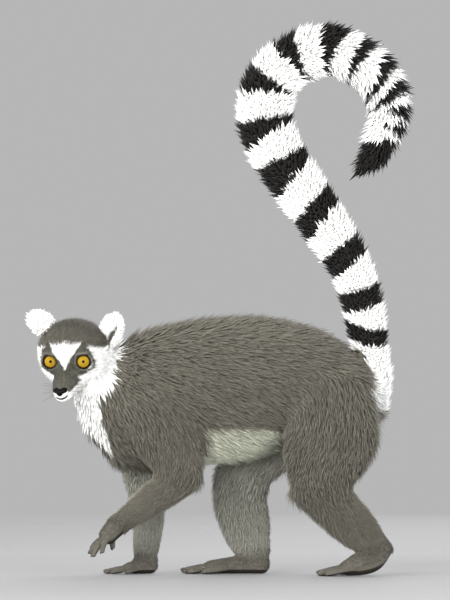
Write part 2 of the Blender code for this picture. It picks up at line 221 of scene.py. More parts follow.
@dataclass
class Stretch:
    """A loft of elliptical rings along a smooth spine.

    Attributes:
        name: What it is called.
        stations: Rows of x, y, z, half depth and half width, out to the tips of the coat.
        coat: The coat's depth at the first and at the last station.
        lift: Degrees that the tufts stand off the skin.
        across: The direction that the rings' width lies nearest to.
        square_to: The direction all rings are square to, where they don't follow the spine.
        roundness: How far each domed end stands out, as a share of the end's smaller half size.
        head: Whether the stations are in the head's frame.
        flow: 1 where the coat lies from the first station to the last, -1 where it lies the other way.
        softness: The width of the fillet where it joins the rest.
        steps: Samples from each station to the next.
    """

    name: str
    stations: list[Row]
    coat: Pair
    lift: float = 20
    across: Triple = Y_WAY
    square_to: Triple | None = None
    roundness: Pair = (0.8, 0.8)
    head: bool = False
    flow: int = 1
    softness: float = 10
    steps: int = 8

    def __post_init__(self) -> None:
        """Samples the spine and sets up the rings."""
        rows = smooth_curve(np.array(self.stations, float), self.steps)
        centres, sizes = rows[:, :3], rows[:, 3:]
        along = np.gradient(centres, axis=0)
        if self.square_to is not None:
            along = np.tile(np.array(self.square_to, float), (len(rows), 1))
        ahead = unit(along)
        side = np.array(self.across, float)
        side = unit(side - (ahead @ side)[:, None] * ahead)
        down = np.cross(ahead, side)
        if self.head:
            centres = HEAD.outward(centres)
            ahead, side, down = (way @ HEAD.axes.T for way in (ahead, side, down))
        self.centres, self.ahead, self.side, self.down = centres, ahead, side, down
        gaps = np.linalg.norm(np.diff(centres, axis=0), axis=1)
        self.arc = np.concatenate([[0], np.cumsum(gaps)])
        self.depths = np.interp(self.arc, [0, self.arc[-1]], self.coat)
        self.skin_sizes = np.maximum(sizes - self.depths[:, None], THINNEST)

    @property
    def length(self) -> float:
        """The spine's length."""
        return float(self.arc[-1])

    def box(self, margin: float) -> tuple[Array, Array]:
        """The lowest and highest corner of its rings, with a margin."""
        reach = self.skin_sizes.max(axis=1)[:, None] + margin
        return (self.centres - reach).min(axis=0), (self.centres + reach).max(axis=0)

    def sample_of(self, points: Array) -> tuple[Array, Array]:
        """Finds where along the spine points lie.

        Args:
            points: Rows of x, y and z.

        Returns:
            The sample each lies at, with its fraction, and how far each lies past an end.
        """
        last = len(self.arc) - 1
        if self.square_to is not None:
            level = self.centres @ self.ahead[0]
            at = points @ self.ahead[0]
            past = np.maximum(level[0] - at, 0) + np.maximum(at - level[-1], 0)
            return np.interp(at, level, np.arange(last + 1)), past
        best = np.full(len(points), np.inf, np.float32)
        nearest = np.zeros(len(points), np.int32)
        x, y, z = (np.ascontiguousarray(points[:, axis], np.float32) for axis in range(3))
        for number, centre in enumerate(self.centres.astype(np.float32)):
            far = (x - centre[0]) ** 2 + (y - centre[1]) ** 2 + (z - centre[2]) ** 2
            closer = far < best
            best[closer] = far[closer]
            nearest[closer] = number
        step = np.gradient(self.arc)[nearest]
        offset = np.einsum("ij,ij->i", points - self.centres[nearest], self.ahead[nearest])
        position = nearest + np.clip(offset / step, -1, 1)
        past = np.where(nearest == 0, np.maximum(-offset, 0), 0)
        past = past + np.where(nearest == last, np.maximum(offset, 0), 0)
        return np.clip(position, 0, last), past

    def measure(self, points: Array) -> Reading:
        """Reads the stretch at some points of the layout.

        Args:
            points: Rows of x, y and z.

        Returns:
            The distances from its skin and the places along and round it.
        """
        sample, past = self.sample_of(points)
        low = np.minimum(sample.astype(int), len(self.arc) - 2)
        share = sample - low
        nearest = np.rint(sample).astype(int)

        def between(values: Array) -> Array:
            """The values between two samples."""
            weight = share if values.ndim == 1 else share[:, None]
            return values[low] * (1 - weight) + values[low + 1] * weight

        offset = points - between(self.centres)
        across = np.einsum("ij,ij->i", offset, self.side[nearest])
        down = np.einsum("ij,ij->i", offset, self.down[nearest])
        depth, width = between(self.skin_sizes).T
        ends = self.skin_sizes[[0, -1]].min(axis=1) * self.roundness
        cap = np.where(sample < len(self.arc) / 2, *ends)
        tiny = 1e-4
        level = np.sqrt((across / width) ** 2 + (down / depth) ** 2 + (past / cap) ** 2) + tiny
        slope = np.sqrt((across / width**2) ** 2 + (down / depth**2) ** 2 + (past / cap**2) ** 2)
        slope = slope + tiny / np.minimum(width, depth)
        angle = np.arctan2(down, across) / math.tau % 1
        return Reading(
            level * (level - 1) / slope, between(self.arc), angle, self.ahead[nearest], between(self.depths)
        )


TAIL_STATIONS = [
    (170, 0, 184, 12, 12), (168, 0, 217, 19, 19), (158, 1, 258, 24.5, 24), (151, 2, 300, 26.5, 26),
    (138, 3, 340, 27.5, 27), (114, 5, 380, 30, 29), (88.5, 7, 418, 32, 31), (62.5, 9, 456, 33.5, 33),
    (44.5, 10, 498, 34.5, 34), (51, 9, 540, 35, 34), (77.5, 7, 567, 33.5, 33), (112, 4, 577.5, 33.5, 33),
    (144, 0, 567.5, 32, 32), (169, -3, 545, 31, 30.5), (180, -6, 514.5, 28.5, 28.5),
    (175, -8, 486, 25, 25), (162, -10, 461, 22, 21), (146, -12, 443, 11, 11),
]
TRUNK_STATIONS = [
    (-116, 0, 188, 72, 44), (-82, 0, 193, 81, 52), (-28, 0, 201, 83, 58), (28, 0, 206, 81, 60),
    (66, 0, 210, 72, 58), (104, 0, 209, 62, 53), (137, 0, 202, 48, 44), (158, 0, 197, 34, 32),
]
NECK_STATIONS = [
    (-92, 0, 194, 60, 42), (-120, -4, 199, 60, 43), (-136, -11, 209, 39, 37), (-147, -18, 223, 32, 32),
]
THIGH_STATIONS = {
    Side.LEFT: [
        (117, -32, 208, 42, 27), (117, -39, 160, 55.5, 29), (108, -44, 128, 48, 26),
        (101, -46, 105, 36, 22),
    ],
    Side.RIGHT: [
        (106, 32, 206, 50, 27), (70, 39, 168, 47, 27), (34, 45, 130, 36, 24), (20, 46, 110, 31, 21),
    ],
}
SHANK_STATIONS = {
    Side.LEFT: [
        (101, -46, 105, 38, 24), (121.5, -46, 75, 28, 19), (144, -44, 52.5, 24.5, 16),
        (163, -42, 34.5, 17, 12.5),
    ],
    Side.RIGHT: [
        (19, 46, 108, 33, 23), (17, 46, 80, 31, 20), (24, 45, 48, 27, 17), (32.5, 43, 22, 19, 12.5),
    ],
}
UPPER_ARM_STATIONS = {
    Side.LEFT: [(-78, -31, 192, 40, 21), (-62, -38, 152, 38, 21), (-48, -43, 118, 28, 18)],
    Side.RIGHT: [(-88, 31, 186, 38, 21), (-94, 37, 143, 33, 21), (-89, 39, 108, 22, 17)],
}
FOREARM_STATIONS = {
    Side.LEFT: [
        (-44, -43, 116, 27, 20), (-66, -43, 95, 21, 17), (-96, -41, 72, 15.5, 13),
        (-119, -38, 54.7, 11, 10.5),
    ],
    Side.RIGHT: [
        (-88, 39, 106, 24, 19), (-85, 38, 62, 18.5, 15), (-87, 36, 30, 15, 12.5), (-88, 36, 14, 12, 11),
    ],
}
PALM_STATIONS = {
    Side.LEFT: [(-117, -38, 56, 11, 11.5), (-124, -37.5, 49, 11.5, 12.5), (-129, -37, 43, 10.5, 12.5)],
    Side.RIGHT: [(-82, 36, 9.5, 10.5, 12), (-94, 36, 8, 9.5, 13), (-106, 36, 6.5, 7, 12.5)],
}
SOLE_STATIONS = {
    Side.LEFT: [
        (174, -42, 31, 12, 13.5), (162, -42, 18, 14, 13), (147, -42, 13, 13.5, 12.5),
        (133, -42, 8.5, 9, 13),
    ],
    Side.RIGHT: [
        (40, 42, 11, 13, 13.5), (24, 42, 10.5, 12, 13), (0, 42, 8.5, 9.5, 12.5), (-16, 42, 7.5, 8, 13),
    ],
}


@dataclass(frozen=True)
class Digit:
    """A finger or toe.

    Attributes:
        ahead: How far its root is ahead of the ball of the hand or foot.
        inward: How far its root is towards the inner side.
        length: Its length.
        turn: Its turn to the inner side in degrees.
        thick: Its half thickness.
    """

    ahead: float
    inward: float
    length: float
    turn: float
    thick: float


HAND_DIGITS = [
    Digit(-9.5, 9, 19, 48, 3.9),
    Digit(0, 8, 20, 14, 3.9),
    Digit(2, 2.8, 23, 4, 4.0),
    Digit(1, -2.8, 24, -7, 4.0),
    Digit(-3, -8.5, 20, -20, 3.6),
]
FOOT_DIGITS = [
    Digit(-18, 10, 31, 38, 5.6),
    Digit(0, 8.5, 23, 12, 4.8),
    Digit(2, 3, 26, 3, 4.9),
    Digit(1, -3, 28, -6, 4.9),
    Digit(-3, -9, 25, -15, 4.5),
]
DIGIT_JOINTS = ((0.4, 1.0), (0.75, 0.9), (1.0, 0.8))
DIGIT_ROOT_DEPTH = 5.0
PAD_DIP = 0.7
LIFTED_DROOPS = (80.0, 26.0, 34.0, 44.0, 58.0)
LIFTED_CURL = 10.0
LIFTED_SLOPE = 50.0

SKULL_SLICES = [  # forward, top, bottom, half width
    (-50, 20, -15, 21), (-41, 29, -30, 32.5), (-30, 35, -39, 41), (-17, 38.5, -43, 42.5),
    (-5, 36, -42, 38.5), (1, 30, -38, 33), (6, 21, -33, 26),
]
MUZZLE_SLICES = [
    (-8, 6, -38, 21), (6, 3, -38, 18.5), (15, -2, -37.5, 16.5), (25, -7, -37, 14.5),
    (34, -12, -35.5, 11.5), (39, -15, -33, 8.5),
]
EAR_ROOTS = {Side.LEFT: (-36, -32, 5), Side.RIGHT: (26, -25, 22)}
EAR_POINTINGS = {Side.LEFT: (-0.35, -0.20, 0.90), Side.RIGHT: (0.45, 0.35, 0.79)}
EAR_ACROSS = {Side.LEFT: (-0.90, -0.30, -0.40), Side.RIGHT: (0.62, 0.40, -0.64)}
EAR_SLICES = [(-6, 10, 7), (6, 14, 7), (17, 15.5, 6), (26, 13, 4.5), (32, 8, 3)]
EAR_HOLLOW_SLICES = [(2, 4, 4), (10, 8, 5.5), (19, 8.5, 4.8), (27, 5, 3)]
EAR_HOLLOW_FORWARD = 6.0
EAR_LIFT = 38.0
LIMBS = (  # name, stations, coat, lift and softness
    ("thigh", THIGH_STATIONS, (9, 5.5), 24, 18),
    ("shank", SHANK_STATIONS, (5.5, 2), 20, 9),
    ("upper_arm", UPPER_ARM_STATIONS, (8.5, 3.5), 22, 16),
    ("forearm", FOREARM_STATIONS, (4.5, 1.6), 19, 9),
)
HEAD_PARTS = (  # name, slices, coat, lift, roundness and softness
    ("skull", SKULL_SLICES, (5, 2.2), 20, (0.6, 0.3), 8),
    ("muzzle", MUZZLE_SLICES, (1.8, 0.9), 14, (0.6, 0.5), 6),
)
PAWS = (("hand", PALM_STATIONS, HAND_DIGITS), ("foot", SOLE_STATIONS, FOOT_DIGITS))


def digit_stations(digit: Digit, side: Side, ball: Row, droop: float | None) -> Array:
    """Lays out one finger or toe as in the solids.

    Args:
        digit: Its sizes.
        side: The side of the body that it is on.
        ball: The last station of the palm or sole.
        droop: Degrees that it droops from level, for a finger of the lifted hand; others stand on the floor.

    Returns:
        Its stations.
    """
    turn, sign = math.radians(digit.turn), side.value
    root = Vector((-digit.ahead, -sign * digit.inward, 0))
    heading = Vector((-math.cos(turn), -sign * math.sin(turn), 0))
    across = Vector(UP).cross(heading)
    if droop is None:
        root += Vector(ball[:3])
        fall = (root.z - digit.thick * DIGIT_JOINTS[-1][1] + PAD_DIP) / digit.length
        directions = [heading - Vector((0, 0, fall))] * len(DIGIT_JOINTS)
    else:
        root = Matrix.Rotation(math.radians(-LIFTED_SLOPE), 3, "Y") @ root + Vector(ball[:3])
        bends = (droop + LIFTED_CURL * joint for joint in range(len(DIGIT_JOINTS)))
        directions = [Matrix.Rotation(math.radians(bend), 3, across) @ heading for bend in bends]
    stations = [(*(root - directions[0] * DIGIT_ROOT_DEPTH), digit.thick, digit.thick)]
    at, done = root, 0.0
    for direction, (share, slim) in zip(directions, DIGIT_JOINTS):
        at = at + direction * digit.length * (share - done)
        done = share
        stations.append((*at, digit.thick * slim, digit.thick * slim))
    return np.array(stations)


def ear_axes(side: Side) -> tuple[Array, Array, Array]:
    """Where an ear points, the direction of its width, and where its hollow faces, in the head's frame."""
    pointing = unit(np.array(EAR_POINTINGS[side]))
    across = np.array(EAR_ACROSS[side])
    across = unit(across - (across @ pointing) * pointing)
    return pointing, across, np.cross(pointing, across) * side.value


def ear_stretch(side: Side, slices: list[Row], name: str, forward: float = 0, coat: float = 0) -> Stretch:
    """An ear's outer shape or its hollow, as a stretch in the head's frame."""
    pointing, across, facing = ear_axes(side)
    stations = []
    for along, half_width, half_thick in slices:
        place = EAR_ROOTS[side] + pointing * along + facing * forward
        stations.append((*place, half_thick, half_width))
    return Stretch(name, stations, (coat, coat), EAR_LIFT, tuple(across), head=True, softness=3, steps=5)


def paw_stretches(name: str, side: Side, stations: list[Row], digits: list[Digit]) -> list[Stretch]:
    """A hand or foot, and its digits."""
    droops = LIFTED_DROOPS if (name, side) == ("hand", Side.LEFT) else (None,) * len(digits)
    name = f"{name}_{side.label}"
    made = [Stretch(name, stations, (1.4, 0.9), 13, softness=6)]
    for number, (digit, droop) in enumerate(zip(digits, droops), 1):
        rows = digit_stations(digit, side, stations[-1], droop)
        across = tuple(np.cross(UP, rows[1, :3] - rows[0, :3]))
        shape = {"roundness": (0.5, 1.0), "softness": 2.5, "steps": 4}
        made.append(Stretch(f"{name}_digit_{number}", rows, (0.6, 0.4), 12, across, **shape))
    return made


def body_stretches() -> list[Stretch]:
    """Every stretch of the body with a coat or skin of its own, in the order they are joined."""
    made = [
        Stretch("trunk", TRUNK_STATIONS, (9, 9), 25, square_to=X_WAY, roundness=(0.6, 0.5), softness=16),
        Stretch("neck", NECK_STATIONS, (7, 5.5), 20, flow=-1, softness=16),
        Stretch("tail", TAIL_STATIONS, (7, 11.5), 43, roundness=(0.8, 1.2)),
    ]
    for side in Side:
        for name, stations, coat, lift, softness in LIMBS:
            made.append(Stretch(f"{name}_{side.label}", stations[side], coat, lift, softness=softness))
    for name, slices, coat, lift, roundness, softness in HEAD_PARTS:
        stations = [(0, ahead, (top + low) / 2, (top - low) / 2, wide) for ahead, top, low, wide in slices]
        made.append(Stretch(name, stations, coat, lift, X_WAY, Y_WAY, roundness, True, softness=softness))
    for side in Side:
        for name, stations, digits in PAWS:
            made += paw_stretches(name, side, stations[side], digits)
        made.append(ear_stretch(side, EAR_SLICES, f"ear_{side.label}", coat=2.6))
    return made


# -------- the skin's field


@dataclass(frozen=True)
class FaceShape:
    """The features that the skin adds to the skull and muzzle, in the head's frame.

    Attributes:
        middle: The middle of all the features.
        reach: How far from it they reach.
        eye_spacing: Between the eyes' centres.
        eye_forward: How far the eyes' centres are forward.
        eye_radius: Of the eyeball.
        gap: Between the eyeball and its lids.
        lid: How thick the lids are.
        opening: The radius of the opening between the lids.
        opening_ways: How far outwards, forward and up each eye's lids open.
        brow: The middle of a right brow from its eye's centre, and its half sizes.
        rim: How wide the bare rims of the lids are.
        mouth: Points of half the mouth's crease, from the middle to the corner.
        crease: Half the crease's width.
        dark: How many of these points the dark line between the lips runs through.
        lips: Half the dark line's width.
    """

    middle: Triple = (0, 8, 0)
    reach: float = 62
    eye_spacing: float = 38.5
    eye_forward: float = 6.5
    eye_radius: float = 8.8
    gap: float = 0.35
    lid: float = 1.5
    opening: float = 7.9
    opening_ways: Rows = ((0.34, 0.86, 0.37), (-0.10, 0.86, 0.37))
    brow: Rows = ((-1.0, -1.5, 11), (9, 6, 4))
    rim: float = 1.0
    mouth: Rows = (
        (0, 42.3, -28.2), (4, 41.6, -27.2), (7.4, 39.2, -25.4), (10.6, 34.5, -25.8), (12.6, 29.0, -26.5),
    )
    crease: float = 0.9
    dark: int = 3
    lips: float = 1.35

    def eye_centre(self, side: Side) -> Array:
        """An eye's centre in the head's frame."""
        return np.array([side.value * self.eye_spacing / 2, self.eye_forward, 0.0])

    def opening_way(self, side: Side) -> Array:
        """The direction that the lids open in."""
        return unit(side.mirrored(self.opening_ways[side is Side.RIGHT]))


FACE = FaceShape()


class Layout:
    """Moves points of the layout into the frame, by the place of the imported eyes."""

    def __init__(self) -> None:
        """Measures the move."""
        corners = [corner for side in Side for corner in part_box(f"eye_{side.label}")]
        expected = HEAD.outward(np.array([[0, FACE.eye_forward, 0]]))[0]
        self.shift = np.array(sum(corners[1:], corners[0]) / len(corners)) / MM - expected

    def to_frame(self, points: Array) -> Array:
        """Points in the frame, in metres."""
        return (points + self.shift) * MM


LAYOUT = Layout()


def capsule_distance(points: Array, start: Array, end: Array) -> Array:
    """The distance of points from a straight line between two ends."""
    along = end - start
    share = np.clip((points - start) @ along / (along @ along), 0, 1)
    return np.linalg.norm(points - start - share[:, None] * along, axis=1)


def add_face(values: Array, points: Array) -> Array:
    """Adds lids, sockets, brows, mouth and the ears' hollows to the field round the head.

    Args:
        values: The field's values at the points.
        points: The points, in the layout.

    Returns:
        The changed values.
    """
    brow_fillet, socket_fillet, lid_fillet, crease_fillet, hollow_fillet = 6, 1.0, 2.2, 0.8, 1.5
    lids_end = 0.15          # the cosine from the way the lids open to where they end
    socket = FACE.eye_radius + FACE.gap + FACE.lid * 0.6
    middle = FACE.eye_radius + FACE.lid / 2 + FACE.gap
    rim = math.cos(math.asin(FACE.opening / middle))
    brow_place, brow_sizes = FACE.brow
    seen = HEAD.inward(points)
    near = np.linalg.norm(seen - np.array(FACE.middle), axis=1) < FACE.reach
    chosen, out = seen[near], values[near].astype(float)
    for side in Side:
        offset = chosen - FACE.eye_centre(side)
        far = np.linalg.norm(offset, axis=1)
        facing = offset @ FACE.opening_way(side) / np.maximum(far, 1e-6)
        brow = np.linalg.norm((offset - side.mirrored(brow_place)) / brow_sizes, axis=1)
        out = smooth_join(out, (brow - 1) * min(brow_sizes), brow_fillet)
        lids = np.maximum(np.abs(far - middle) - FACE.lid / 2, (facing - rim) * middle)
        lids = np.maximum(lids, (lids_end - facing) * middle)
        out = smooth_cut(out, far - socket, socket_fillet)
        out = smooth_join(out, lids, lid_fillet)
        out = np.maximum(out, FACE.eye_radius + FACE.gap - far)
    for side in reversed(Side):
        line = side.mirrored(FACE.mouth)
        for start, end in zip(line, line[1:]):
            out = smooth_cut(out, capsule_distance(chosen, start, end) - FACE.crease, crease_fillet)
    values = values.copy()
    values[near] = out
    for side in Side:
        hollow = ear_stretch(side, EAR_HOLLOW_SLICES, "hollow", EAR_HOLLOW_FORWARD)
        values = smooth_cut(values, hollow.measure(points).distance, hollow_fillet)
    return values


def grid_lines(*bands: Pair) -> Array:
    """Grid lines in bands of (where it ends, spacing), after a first band that only starts."""
    values, at = [], bands[0][0]
    for end, spacing in bands[1:]:
        values.append(np.linspace(at, end, max(1, round((end - at) / spacing)), endpoint=False))
        at = end
    return np.concatenate([*values, [at]])


GRID = (  # closest together at the head, hands and feet
    grid_lines((-232, 0), (-128, 1.15), (186, 3.1), (222, 3.4)),
    grid_lines((-94, 0), (-12, 1.3), (22, 3.0), (60, 1.65), (72, 3.0)),
    grid_lines((-3, 0), (62, 1.5), (188, 3.3), (286, 1.15), (624, 3.8)),
)


def surface_net(values: Array, axes: tuple[Array, ...]) -> tuple[Array, Array]:
    """Draws the zero level of a field as quads, one vertex in each cell that it crosses.

    Args:
        values: The field at the grid's points, negative inside.
        axes: The grid's lines along x, y and z.

    Returns:
        The vertices, and the faces with their outsides facing out.
    """
    cells = tuple(size - 1 for size in values.shape)
    inside = values < 0
    owners, crossings, faces = [], [], []
    for axis in range(3):
        near = tuple(slice(None, -1) if k == axis else slice(None) for k in range(3))
        far = tuple(slice(1, None) if k == axis else slice(None) for k in range(3))
        start = np.argwhere(inside[near] != inside[far])
        end = start.copy()
        end[:, axis] += 1
        from_value, to_value = values[tuple(start.T)], values[tuple(end.T)]
        share = from_value / (from_value - to_value)
        point = np.stack([axes[k][start[:, k]] for k in range(3)], axis=1)
        point[:, axis] += share * (axes[axis][end[:, axis]] - axes[axis][start[:, axis]])
        first, second = (axis + 1) % 3, (axis + 2) % 3
        round_edge = []
        for back_first, back_second in ((0, 0), (1, 0), (1, 1), (0, 1)):
            cell = start.copy()
            cell[:, first] -= back_first
            cell[:, second] -= back_second
            round_edge.append(np.ravel_multi_index(tuple(cell.T), cells))
        quads = np.stack(round_edge, axis=1)
        quads = np.where((from_value < 0)[:, None], quads, quads[:, ::-1])
        owners.append(quads.ravel())
        crossings.append(np.repeat(point, 4, axis=0))
        faces.append(quads)
    used, index = np.unique(np.concatenate(owners), return_inverse=True)
    points = np.concatenate(crossings)
    count = np.bincount(index)
    vertices = np.stack([np.bincount(index, points[:, k]) / count for k in range(3)], axis=1)
    return vertices, np.searchsorted(used, np.concatenate(faces))


def grid_part(low: Array, high: Array) -> tuple[tuple[slice, ...], Array]:
    """The grid's places between two corners, and the points there."""
    ranges = []
    for line, start, end in zip(GRID, low, high):
        first, last = np.searchsorted(line, [start, end])
        ranges.append(slice(max(first - 1, 0), last + 1))
    points = np.stack(np.meshgrid(*(line[r] for line, r in zip(GRID, ranges)), indexing="ij"), axis=-1)
    return tuple(ranges), points.reshape(-1, 3)


def skin_field(stretches: list[Stretch]) -> Array:
    """The field whose zero level is the skin.

    Args:
        stretches: The body's stretches, in the order they are joined.

    Returns:
        The field's values on the grid.
    """
    far_off, spare, floor = 20.0, 3, 0.4
    head_middle, head_reach = np.array([[0, 0, 10]]), 72
    values = np.full(tuple(len(line) for line in GRID), far_off, np.float32)
    for stretch in stretches:
        ranges, points = grid_part(*stretch.box(stretch.softness + spare))
        distance = stretch.measure(points).distance.reshape(values[ranges].shape)
        values[ranges] = smooth_join(values[ranges], distance, stretch.softness)
    centre = HEAD.outward(head_middle)[0]
    ranges, points = grid_part(centre - head_reach, centre + head_reach)
    values[ranges] = add_face(values[ranges].ravel(), points).reshape(values[ranges].shape)
    return np.maximum(values, (floor - GRID[2]).astype(np.float32))


# -------- marks on the coat


@dataclass(frozen=True)
class Ring:
    """A black ring of the tail, in millimetres along the tail on the outer and the inner side of its hook.

    Attributes:
        outer: Where it starts and ends on the outer side.
        inner: Where it starts and ends on the inner side.
        sag: How far its middle, between the two sides, lies nearer the base.
    """

    outer: Pair
    inner: Pair
    sag: float = 0


RINGS = [
    Ring((83, 104), (68, 86), 5), Ring((112, 136), (116, 136), 3),
    Ring((154, 182), (168, 188)), Ring((209, 236), (226, 249)),
    Ring((267, 304), (283, 301)), Ring((325, 349), (337, 352)),
    Ring((374, 397), (387, 391)), Ring((418, 439), (425, 430)),
    Ring((461, 484), (461, 468)), Ring((494, 509), (500, 505)),
    Ring((517, 532), (545, 551)), Ring((542, 555), (563, 568)),
    Ring((564, 576), (574, 570)), Ring((580, 592), (590, 586)),
]
TIP_STARTS = (596.0, 613.0)
RING_LEAN = 4.5          # how much nearer the tail's base the roots are than what shows of their tufts

# Each outline on the head is half of it: how far from the head's middle, and how high above the eyes.
HAIRLINE = ((0, 17), (3, 15.3), (12, 15.3), (20, 15), (27, 12.5), (33, 11), (37.5, 11), (39.5, 25), (90, 25))
EYE_PATCH = (
    (19, 16.5), (23, 14.5), (27.2, 9.5), (29.6, 4), (30, 0.8), (29.4, -6.6), (25, -12.3), (17.5, -16.8),
    (12, -19.5), (0, -20), (0, -13.5), (5.5, -2.5), (13.3, 7.4), (17, 14.5),
)
EYE_PATCH_BACK = -16.0
MUZZLE_PATCH = (
    (-10, -12), (-10, -33.5), (7, -34.3), (8.8, -38), (9.8, -39.8), (11.5, -36), (13.4, -31.5), (15.2, -26),
    (14.8, -21), (12.5, -16), (9, -12),
)
MUZZLE_PATCH_BACK = 17.0
JAW_TOP = -24.0          # below it the muzzle's patch ends further forward
JAW_SLOPE = 1.6
EAR_SLIT = ((-6, -1.3, 1.5), (4, 0.5, 2.2), (12, 3, 2.2), (18.5, 4.7, 1.2))  # along, middle, half width
SLIT_FACING = -0.1       # the least cosine between the skin and the hollow's facing
RUFF_RADIUS = 52.0
RUFF_BACK = -36.0
NECK_RUFF_BACK = -14.0
BIB_EDGE = ((138, -127), (182, -137), (197, -141), (211, -132), (230, -122), (248, -118), (262, -117))
BIB_FOOT = 12.0          # the least sum of x and z on the bib
STRIP_EDGE = ((170, 176), (178, 169), (186, 163), (200, 155), (220, 157), (236, 157), (244, 152), (252, 128))
STRIP_TOP = 253.0
STRIP_BOTTOM = 172.0
BELLY = ((-38, 100), (-38, 160), (-22, 164), (4, 164), (34, 165), (62, 160), (70, 100))
FAR_OUT = -30.0          # the depth of a point that a mark can't reach
DEEP = 20.0              # and of one that it covers for sure
PALE_DEPTH = 12.0        # the depth of the inner side of a leg in the paler coat
# Painted shade where the hair is short, standing in for the self-shadowing of the long coat, on the limbs
# and on the head.
SHORT_LIMB_SHADE = (1.9, 8.0)  # the coat's depth where its hair looks short, and how fast that changes
SHORT_HEAD_SHADE = (2.7, 0.9)


def read_table(table: Rows, at: Array) -> Array:
    """Reads a table of (place, value) rows at some places."""
    return np.interp(at, *np.array(table, float).T)


def starts_with(names: Array, *starts: str) -> Array:
    """Which names start with one of the given words."""
    return np.any([np.char.startswith(names, start) for start in starts], axis=0)


def ring_depth(tail: Reading) -> Array:
    """How deep points of the tail lie inside its black rings and tip."""
    outermost = 0.25         # where round the tail the outer side of the hook lies
    outwards = 0.5 + 0.5 * np.cos((tail.angle - outermost) * math.tau)
    middle = 1 - (2 * outwards - 1) ** 2
    along = tail.along + RING_LEAN
    black = along - (TIP_STARTS[1] + (TIP_STARTS[0] - TIP_STARTS[1]) * outwards)
    for ring in RINGS:
        start, end = (inner + (outer - inner) * outwards for outer, inner in zip(ring.outer, ring.inner))
        sagged = along + ring.sag * middle
        black = np.maximum(black, np.minimum(sagged - start, end - sagged))
    return black


def slit_depth(seen: Array, normals: Array, side: Side) -> Array:
    """How deep points lie in the dark slit of an ear's hollow.

    Args:
        seen: The points, in the head's frame.
        normals: The skin's normals there, in the head's frame.
        side: The ear's side.

    Returns:
        One depth for each point.
    """
    pointing, across, facing = ear_axes(side)
    offset = seen - EAR_ROOTS[side]
    along = offset @ pointing
    rows = np.array(EAR_SLIT, float)
    middle, half = (np.interp(along, rows[:, 0], column) for column in rows[:, 1:].T)
    ends = np.minimum(along - rows[0, 0], rows[-1, 0] - along)
    depth = np.minimum(half - np.abs(offset @ across - middle), ends)
    return np.where(normals @ facing > SLIT_FACING, depth, FAR_OUT)


def mark_depths(points: Array, normals: Array, names: Array, coat: Array, tail: Reading) -> dict[str, Array]:
    """How deep each point lies inside each mark, in millimetres, negative outside.

    Args:
        points: Points of the skin in the layout.
        normals: The skin's normals there.
        names: The stretch that each belongs to.
        coat: The coat's depth there.
        tail: The tail's reading of the points.

    Returns:
        The depths by the mark's name.
    """
    x, z = points[:, 0], points[:, 2]
    seen = HEAD.inward(points)
    wide, ahead = np.abs(seen[:, 0]), seen[:, 1]
    height = z - HEAD.place[2]
    is_tail, is_ear = names == "tail", starts_with(names, "ear")
    on_head = starts_with(names, "skull", "muzzle")

    ruff = np.minimum(RUFF_RADIUS - np.hypot(seen[:, 0], seen[:, 2]), ahead - RUFF_BACK)
    ruff = np.minimum(ruff, read_table(HAIRLINE, wide) - height)
    bib = np.minimum(read_table(BIB_EDGE, z) - x, np.minimum(z - BIB_EDGE[0][0], BIB_EDGE[-1][0] - z))
    bib = np.minimum(bib, (x + z - BIB_FOOT) * math.sqrt(0.5))
    bib = np.maximum(bib, np.where(ahead > NECK_RUFF_BACK, ruff, FAR_OUT))
    edge = x - read_table(STRIP_EDGE, z)
    strip = np.minimum(edge, np.minimum(z - STRIP_BOTTOM, STRIP_TOP - z))
    white = np.where(on_head, ruff, FAR_OUT)
    white = np.where(starts_with(names, "neck", "trunk"), bib, white)
    white = np.where(names == "trunk", np.maximum(white, strip), white)
    white = np.where(is_ear | is_tail, DEEP, white)
    white = np.where(is_tail & (z < STRIP_TOP), edge, white)

    eyes = np.where(ahead > EYE_PATCH_BACK, polygon_depth(wide, height, EYE_PATCH), FAR_OUT)
    front = ahead - MUZZLE_PATCH_BACK - JAW_SLOPE * np.maximum(JAW_TOP - height, 0)
    muzzle = np.minimum(polygon_depth(wide, height, MUZZLE_PATCH), front)
    patch = np.where(on_head, np.maximum(eyes, muzzle), FAR_OUT)
    slit = slit_depth(seen, normals @ HEAD.axes, Side.LEFT)
    patch = np.where(is_ear | on_head, np.maximum(patch, slit), patch)

    limb = starts_with(names, "thigh", "shank", "upper", "forearm", "hand", "foot")
    # painted shade where the limbs' hair is short
    short = np.where(limb, (SHORT_LIMB_SHADE[0] - coat) * SHORT_LIMB_SHADE[1], FAR_OUT)
    return {
        "black": np.where(is_tail, ring_depth(tail), FAR_OUT),
        "white": white,
        "patch": patch,
        "cream": np.where(names == "trunk", polygon_depth(x, z, BELLY), FAR_OUT),
        # pale: the inner sides' paler coat, partly painted light for the less light they get
        "pale": np.where(limb, -np.sign(points[:, 1]) * normals[:, 1] * PALE_DEPTH, FAR_OUT),
        "short": np.where(on_head, SHORT_HEAD_SHADE[0] - SHORT_HEAD_SHADE[1] * coat, short),
    }


# -------- meshes


def link_object(name: str, data: bpy.types.ID) -> Object:
    """An object of the scene, at the origin."""
    made = bpy.data.objects.new(name, data)
    bpy.context.scene.collection.objects.link(made)
    return made


def add_piece(name: str, mesh: Mesh, material: Material | None = None) -> Object:
    """A piece that rides on the body.

    Args:
        name: The piece's name.
        mesh: Its mesh.
        material: Its material, where the mesh has none yet.

    Returns:
        The piece.
    """
    piece = link_object(name, mesh)
    if material:
        mesh.materials.append(material)
    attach(piece, BODY)
    return piece


def mesh_from(name: str, vertices: Array, faces: Array | list) -> Mesh:
    """A smooth mesh from vertices in metres and faces."""
    mesh = bpy.data.meshes.new(name)
    mesh.from_pydata(vertices.tolist(), [], faces if isinstance(faces, list) else faces.tolist())
    mesh.shade_smooth()
    mesh.update()
    return mesh


